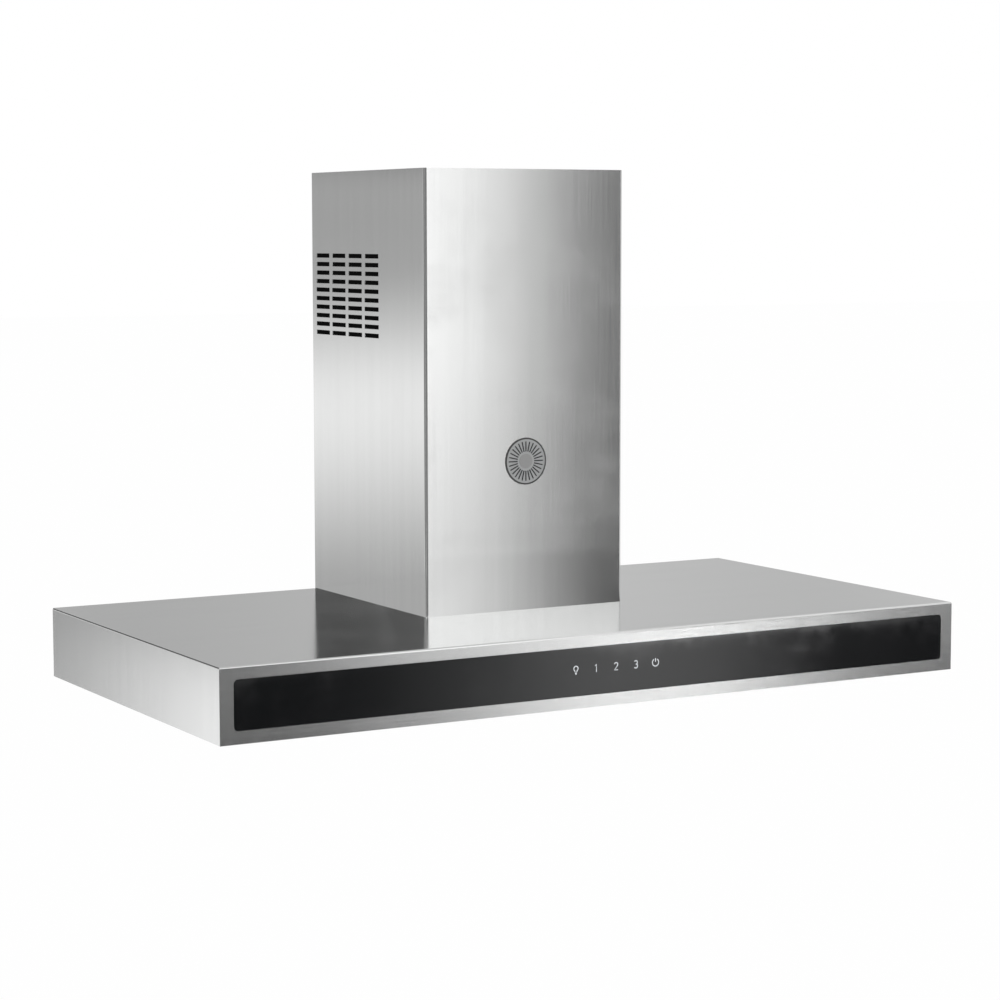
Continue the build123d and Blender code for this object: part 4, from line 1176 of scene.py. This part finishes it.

# %% [markdown]
# ## Springs behind the latches
# A flat spring pushes each latch forward. When the latch is drawn back the spring gives way, which a CAD
# solid can't do, so a bowed strip stands in for the solid, inside the same box. It is a closed skin over
# small rectangles along a curve. Its feet stay on the pocket's back.

# %% A skin over rings
def skin(name, rings, finish):
    """A closed mesh over rings of points, where an end ring of more than one point is capped."""
    shape = bmesh.new()
    rings = [[shape.verts.new(at) for at in ring] for ring in rings]
    for before, after in zip(rings, rings[1:]):
        for step in range(max(len(before), len(after))):
            sides = [(before, step), (after, step), (after, step + 1), (before, step + 1)]
            corners = [ring[place % len(ring)] for ring, place in sides]
            shape.faces.new(list(dict.fromkeys(corners)))
    for end in (rings[0], rings[-1]):
        if len(end) > 1:
            shape.faces.new(end)
    bmesh.ops.recalc_face_normals(shape, faces=shape.faces)
    mesh = bpy.data.meshes.new(name)
    shape.to_mesh(mesh)
    shape.free()
    mesh.materials.append(finishes[finish])
    return mesh


print("skin ready")

# %% Bowed springs
spring_steps = 24
strip_thickness = 0.5 * MM
strip_foot = 1.0 * MM


def bowed_strip(low, high):
    """Rings of a strip that is bowed to the front of a box, with both feet on the box's back."""
    middle, half, depth = (low.x + high.x) / 2, (high.x - low.x) / 2, high.y - low.y
    rings = []
    for step in range(spring_steps + 1):
        along = 2 * step / spring_steps - 1
        bow = 1 - along**2
        outer = (middle + along * half, high.y - bow * depth)
        inner = (middle + along * (half - strip_foot), high.y - bow * (depth - strip_thickness))
        rings.append([(*outer, low.z), (*outer, high.z), (*inner, high.z), (*inner, low.z)])
    return rings


for place in filter_places:
    name, node, slide = "bowed_spring_" + place, "latch_spring_" + place, "latch_" + place + "_slide"
    spring_low, spring_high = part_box(node)
    strip = skin(name, bowed_strip(spring_low, spring_high), "spring_steel")
    spring = settle(name, strip, "filter_" + place)
    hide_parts(node)
    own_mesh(spring)

# %% [markdown]
# ## Light-emitting diodes
# Through the frosted lens of a lamp one sees its diodes as soft yellow squares: the yellow is the
# phosphor that makes blue light white. They sit in two rings round one in the middle, inside the lens's
# back.

# %% Diodes
def led_phosphor():
    """Yellow phosphor with a fine grain."""
    tree, shader, position = new_finish("led_phosphor")
    grain = noise(tree, position, scale=1800.0)
    fill(tree, shader, {
        "Base Color": shades(tree, grain, (0.80, 0.58, 0.14), (0.92, 0.74, 0.28)),
        "Roughness": rescale(tree, grain, 0.3, 0.7, 0.45, 0.6),
    })


led_phosphor()
diode_sizes = {"Size": (3.4 * MM, 3.4 * MM, 0.6 * MM)}
diode_lift = 0.6 * MM
diode_rings = ((1, 0.0), (6, 9.0 * MM), (12, 18.0 * MM))
for side, middle in zip(("left", "right"), lamp_places):
    places = []
    for count, ring in diode_rings:
        for step in range(count):
            turn = 2 * math.pi * step / count
            away = Vector((ring * math.cos(turn), ring * math.sin(turn), diode_lift))
            places.append(middle + away)
    grow("lamp_diodes_" + side, bar_tree, places, diode_sizes, "canopy", "lamp_lens", finish="led_phosphor")

# %% [markdown]
# ## Lit touch symbols
# Five symbols glow through the black print: a lamp, the three speeds and a ring to switch off. Each is
# drawn as strokes, because that is how such symbols are cut in the print. The strokes are chains of
# edges, and a node tree runs a round bead along them and presses it flat against the glass.

# %% Stroke tree
bead_sides = 10

stroke_tree, given = new_maker("symbol_strokes", {"Stroke Width": "Float", "Bead Height": "Float"})
lines = put(stroke_tree, "GeometryNodeMeshToCurve", {"Mesh": given["Geometry"]})
bead = put(stroke_tree, "GeometryNodeCurvePrimitiveCircle", {
    "Resolution": bead_sides, "Radius": times(stroke_tree, given["Stroke Width"], 0.5),
})
tubes = put(stroke_tree, "GeometryNodeCurveToMesh", {
    "Curve": lines.outputs[0], "Profile Curve": bead.outputs[0], "Fill Caps": True,
})
flatness = sums(stroke_tree, "DIVIDE", given["Bead Height"], given["Stroke Width"])
pressed = {"Geometry": tubes.outputs[0], "Scale": point(stroke_tree, 1.0, flatness, 1.0)}
close_maker(stroke_tree, given, put(stroke_tree, "GeometryNodeTransform", pressed).outputs[0])
print("tree:", stroke_tree.name)

# %% Draw the symbols
symbol_pitch = 24.6
symbol_shift = 2.5
symbol_height = 40.5


def arc(middle, radius, first, last, steps=14):
    """Points along an arc in the symbol's plane, with angles in degrees from +X."""
    turns = [math.radians(first + (last - first) * step / steps) for step in range(steps + 1)]
    return [(middle[0] + radius * math.cos(turn), middle[1] + radius * math.sin(turn)) for turn in turns]


symbols = {
    "lamp": [
        [(-1.2, -2.0), (-1.2, -1.2), *arc((0, 1.5), 2.6, 235, -55, 18), (1.2, -1.2), (1.2, -2.0)],
        [(-1.2, -3.1), (1.2, -3.1)],
        [(-0.7, -4.2), (0.7, -4.2)],
    ],
    "one": [[(-1.3, 2.4), (0.4, 4.0), (0.4, -4.0)]],
    "two": [[*arc((0, 1.8), 2.1, 165, -35), (-2.1, -3.9), (2.3, -3.9)]],
    "three": [[*arc((0, 2.0), 1.9, 150, -90), *arc((0, -1.9), 2.1, 90, -150)]],
    "ring": [arc((0, 0), 3.9, 120, 420, 30), [(0, 4.6), (0, 0.6)]],
}
symbol_points, symbol_edges = [], []
for place, strokes in enumerate(symbols.values()):
    symbol_middle = (place - 2) * symbol_pitch + symbol_shift
    for stroke in strokes:
        first = len(symbol_points)
        symbol_points += [((symbol_middle + x) * MM, 0.0, (symbol_height + z) * MM) for x, z in stroke]
        symbol_edges += [(first + step, first + step + 1) for step in range(len(stroke) - 1)]
print("symbol strokes:", len(symbol_edges))

# %% [markdown]
# The light behind the print is a cool white. It has to look lit without glaring, so the strokes are as
# bright as light grey paper and glow a little, and a slight unevenness stands for the light guide behind
# them.

# %% Symbol finish and piece
def lit_symbols():
    """Softly lit white with a faint unevenness."""
    tree, shader, position = new_finish("lit_symbols")
    colour = shades(tree, noise(tree, position, scale=350.0), (0.42, 0.44, 0.46), (0.56, 0.58, 0.60))
    fill(tree, shader, {
        "Base Color": colour,
        "Roughness": 0.5,
        "Emission Color": colour,
        "Emission Strength": 0.4,
    })


lit_symbols()
stroke_sizes = {"Stroke Width": 1.05 * MM, "Bead Height": 0.2 * MM}
on_glass = Matrix.Translation((0.0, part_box("front_glass")[0].y, 0.0))
grow(
    "touch_symbols", stroke_tree, symbol_points, stroke_sizes, "canopy", "lamp_lens",
    finish="lit_symbols", edges=symbol_edges, place=on_glass,
)

# %% [markdown]
# ## A round plate
# The chimney's front carries a small turned plate: a thin dark rim line, and a sunk field round a plain
# middle. Its profile is a short list of radii and heights, spun about the plate's axis as it would be on
# a lathe. The skin that made the springs closes it, with a single point at each end of the axis.

# %% Plate finish
plate_height = 242.6 * MM
field_edge, middle_edge = 23.8 * MM, 8.0 * MM
rim_from, rim_full = field_edge + 0.2 * MM, field_edge + 0.5 * MM
middle_soft = 0.1 * MM


def plate_steel():
    """Turned steel with a dark rim line and a duller field."""
    tree, shader, position = new_finish("plate_steel")
    x, y, z = parts_of(tree, vectors(tree, "SUBTRACT", position, (0.0, 0.0, plate_height)))
    rings = use(tree, turned_rings, {"Position": point(tree, x, z), "Rings": 14000.0})
    rim = rescale(tree, rings["Radius"], rim_from, rim_full)
    beyond_middle = rescale(tree, rings["Radius"], middle_edge - middle_soft, middle_edge + middle_soft)
    field = sums(tree, "SUBTRACT", beyond_middle, rim)
    steel = mix_colour(tree, rings["Lines"], grey(0.40), grey(0.52))
    dull = mix_colour(tree, field, steel, (0.55, 0.56, 0.56, 1.0))
    fill(tree, shader, {
        "Base Color": mix_colour(tree, rim, dull, grey(0.06)),
        "Metallic": rescale(tree, rim, 0.0, 1.0, 1.0, 0.2),
        "Roughness": rescale(tree, rings["Lines"], 0.0, 1.0, 0.30, 0.42),
        "Normal": raised(tree, rings["Lines"], depth=4e-6),
    })


plate_steel()
print("plate finish ready")

# %% Round plate
plate_sides = 96
plate_radius, rim_line = 26.0 * MM, 25.2 * MM
plate_thickness, field_thickness = 0.8 * MM, 0.4 * MM


def on_chimney(across, up, proud):
    """A point on the plate: across and up in its face, proud of the chimney's front."""
    return (across, -chimney_front - proud, plate_height + up)


def spun(profile):
    """Rings of points from a profile of (radius, height)."""
    turns = [2 * math.pi * step / plate_sides for step in range(plate_sides)]
    rings = []
    for radius, height in profile:
        ring = [on_chimney(radius * math.cos(turn), radius * math.sin(turn), height) for turn in turns]
        rings.append(ring if radius else ring[:1])
    return rings


plate_profile = [
    (0.0, 0.0), (plate_radius, 0.0), (plate_radius, field_thickness), (rim_line, plate_thickness),
    (field_edge, plate_thickness), (field_edge, field_thickness), (middle_edge, field_thickness),
    (middle_edge, plate_thickness), (0.0, plate_thickness),
]
settle("round_plate", skin("round_plate", spun(plate_profile), "plate_steel"), "canopy")

# %% [markdown]
# Radial bars fill the plate's field, as on a pressed rosette. A circle of points carries them, and each
# bar is turned by its share of the full circle. The whole ring is then stood upright and pushed to its
# place on the chimney.

# %% Rosette tree and piece
rosette_tree, given = new_maker("rosette_bars", {
    "Bar Count": "Int", "Ring Radius": "Float", "Bar Size": "Vector",
})
ring_sizes = {"Vertices": given["Bar Count"], "Radius": given["Ring Radius"]}
ring = put(rosette_tree, "GeometryNodeMeshCircle", ring_sizes).outputs["Mesh"]
block = put(rosette_tree, "GeometryNodeMeshCube", {"Size": given["Bar Size"]}).outputs["Mesh"]
order = put(rosette_tree, "GeometryNodeInputIndex").outputs[0]
turn = times(rosette_tree, sums(rosette_tree, "DIVIDE", order, given["Bar Count"]), 2 * math.pi)
aim = put(rosette_tree, "FunctionNodeAxisAngleToRotation", {"Axis": (0.0, 0.0, 1.0), "Angle": turn})
close_maker(rosette_tree, given, on_points(rosette_tree, ring, block, Rotation=aim.outputs[0]))

rosette_sizes = {"Bar Count": 28, "Ring Radius": 16.2 * MM, "Bar Size": (11.0 * MM, 1.3 * MM, 0.5 * MM)}
rosette_lift = field_thickness + 0.1 * MM
stood_up = Matrix.Translation(on_chimney(0.0, 0.0, rosette_lift)) @ Matrix.Rotation(math.pi / 2, 4, "X")
grow(
    "plate_rosette", rosette_tree, [(0.0, 0.0, 0.0)], rosette_sizes, "canopy", "black_plastic",
    place=stood_up,
)
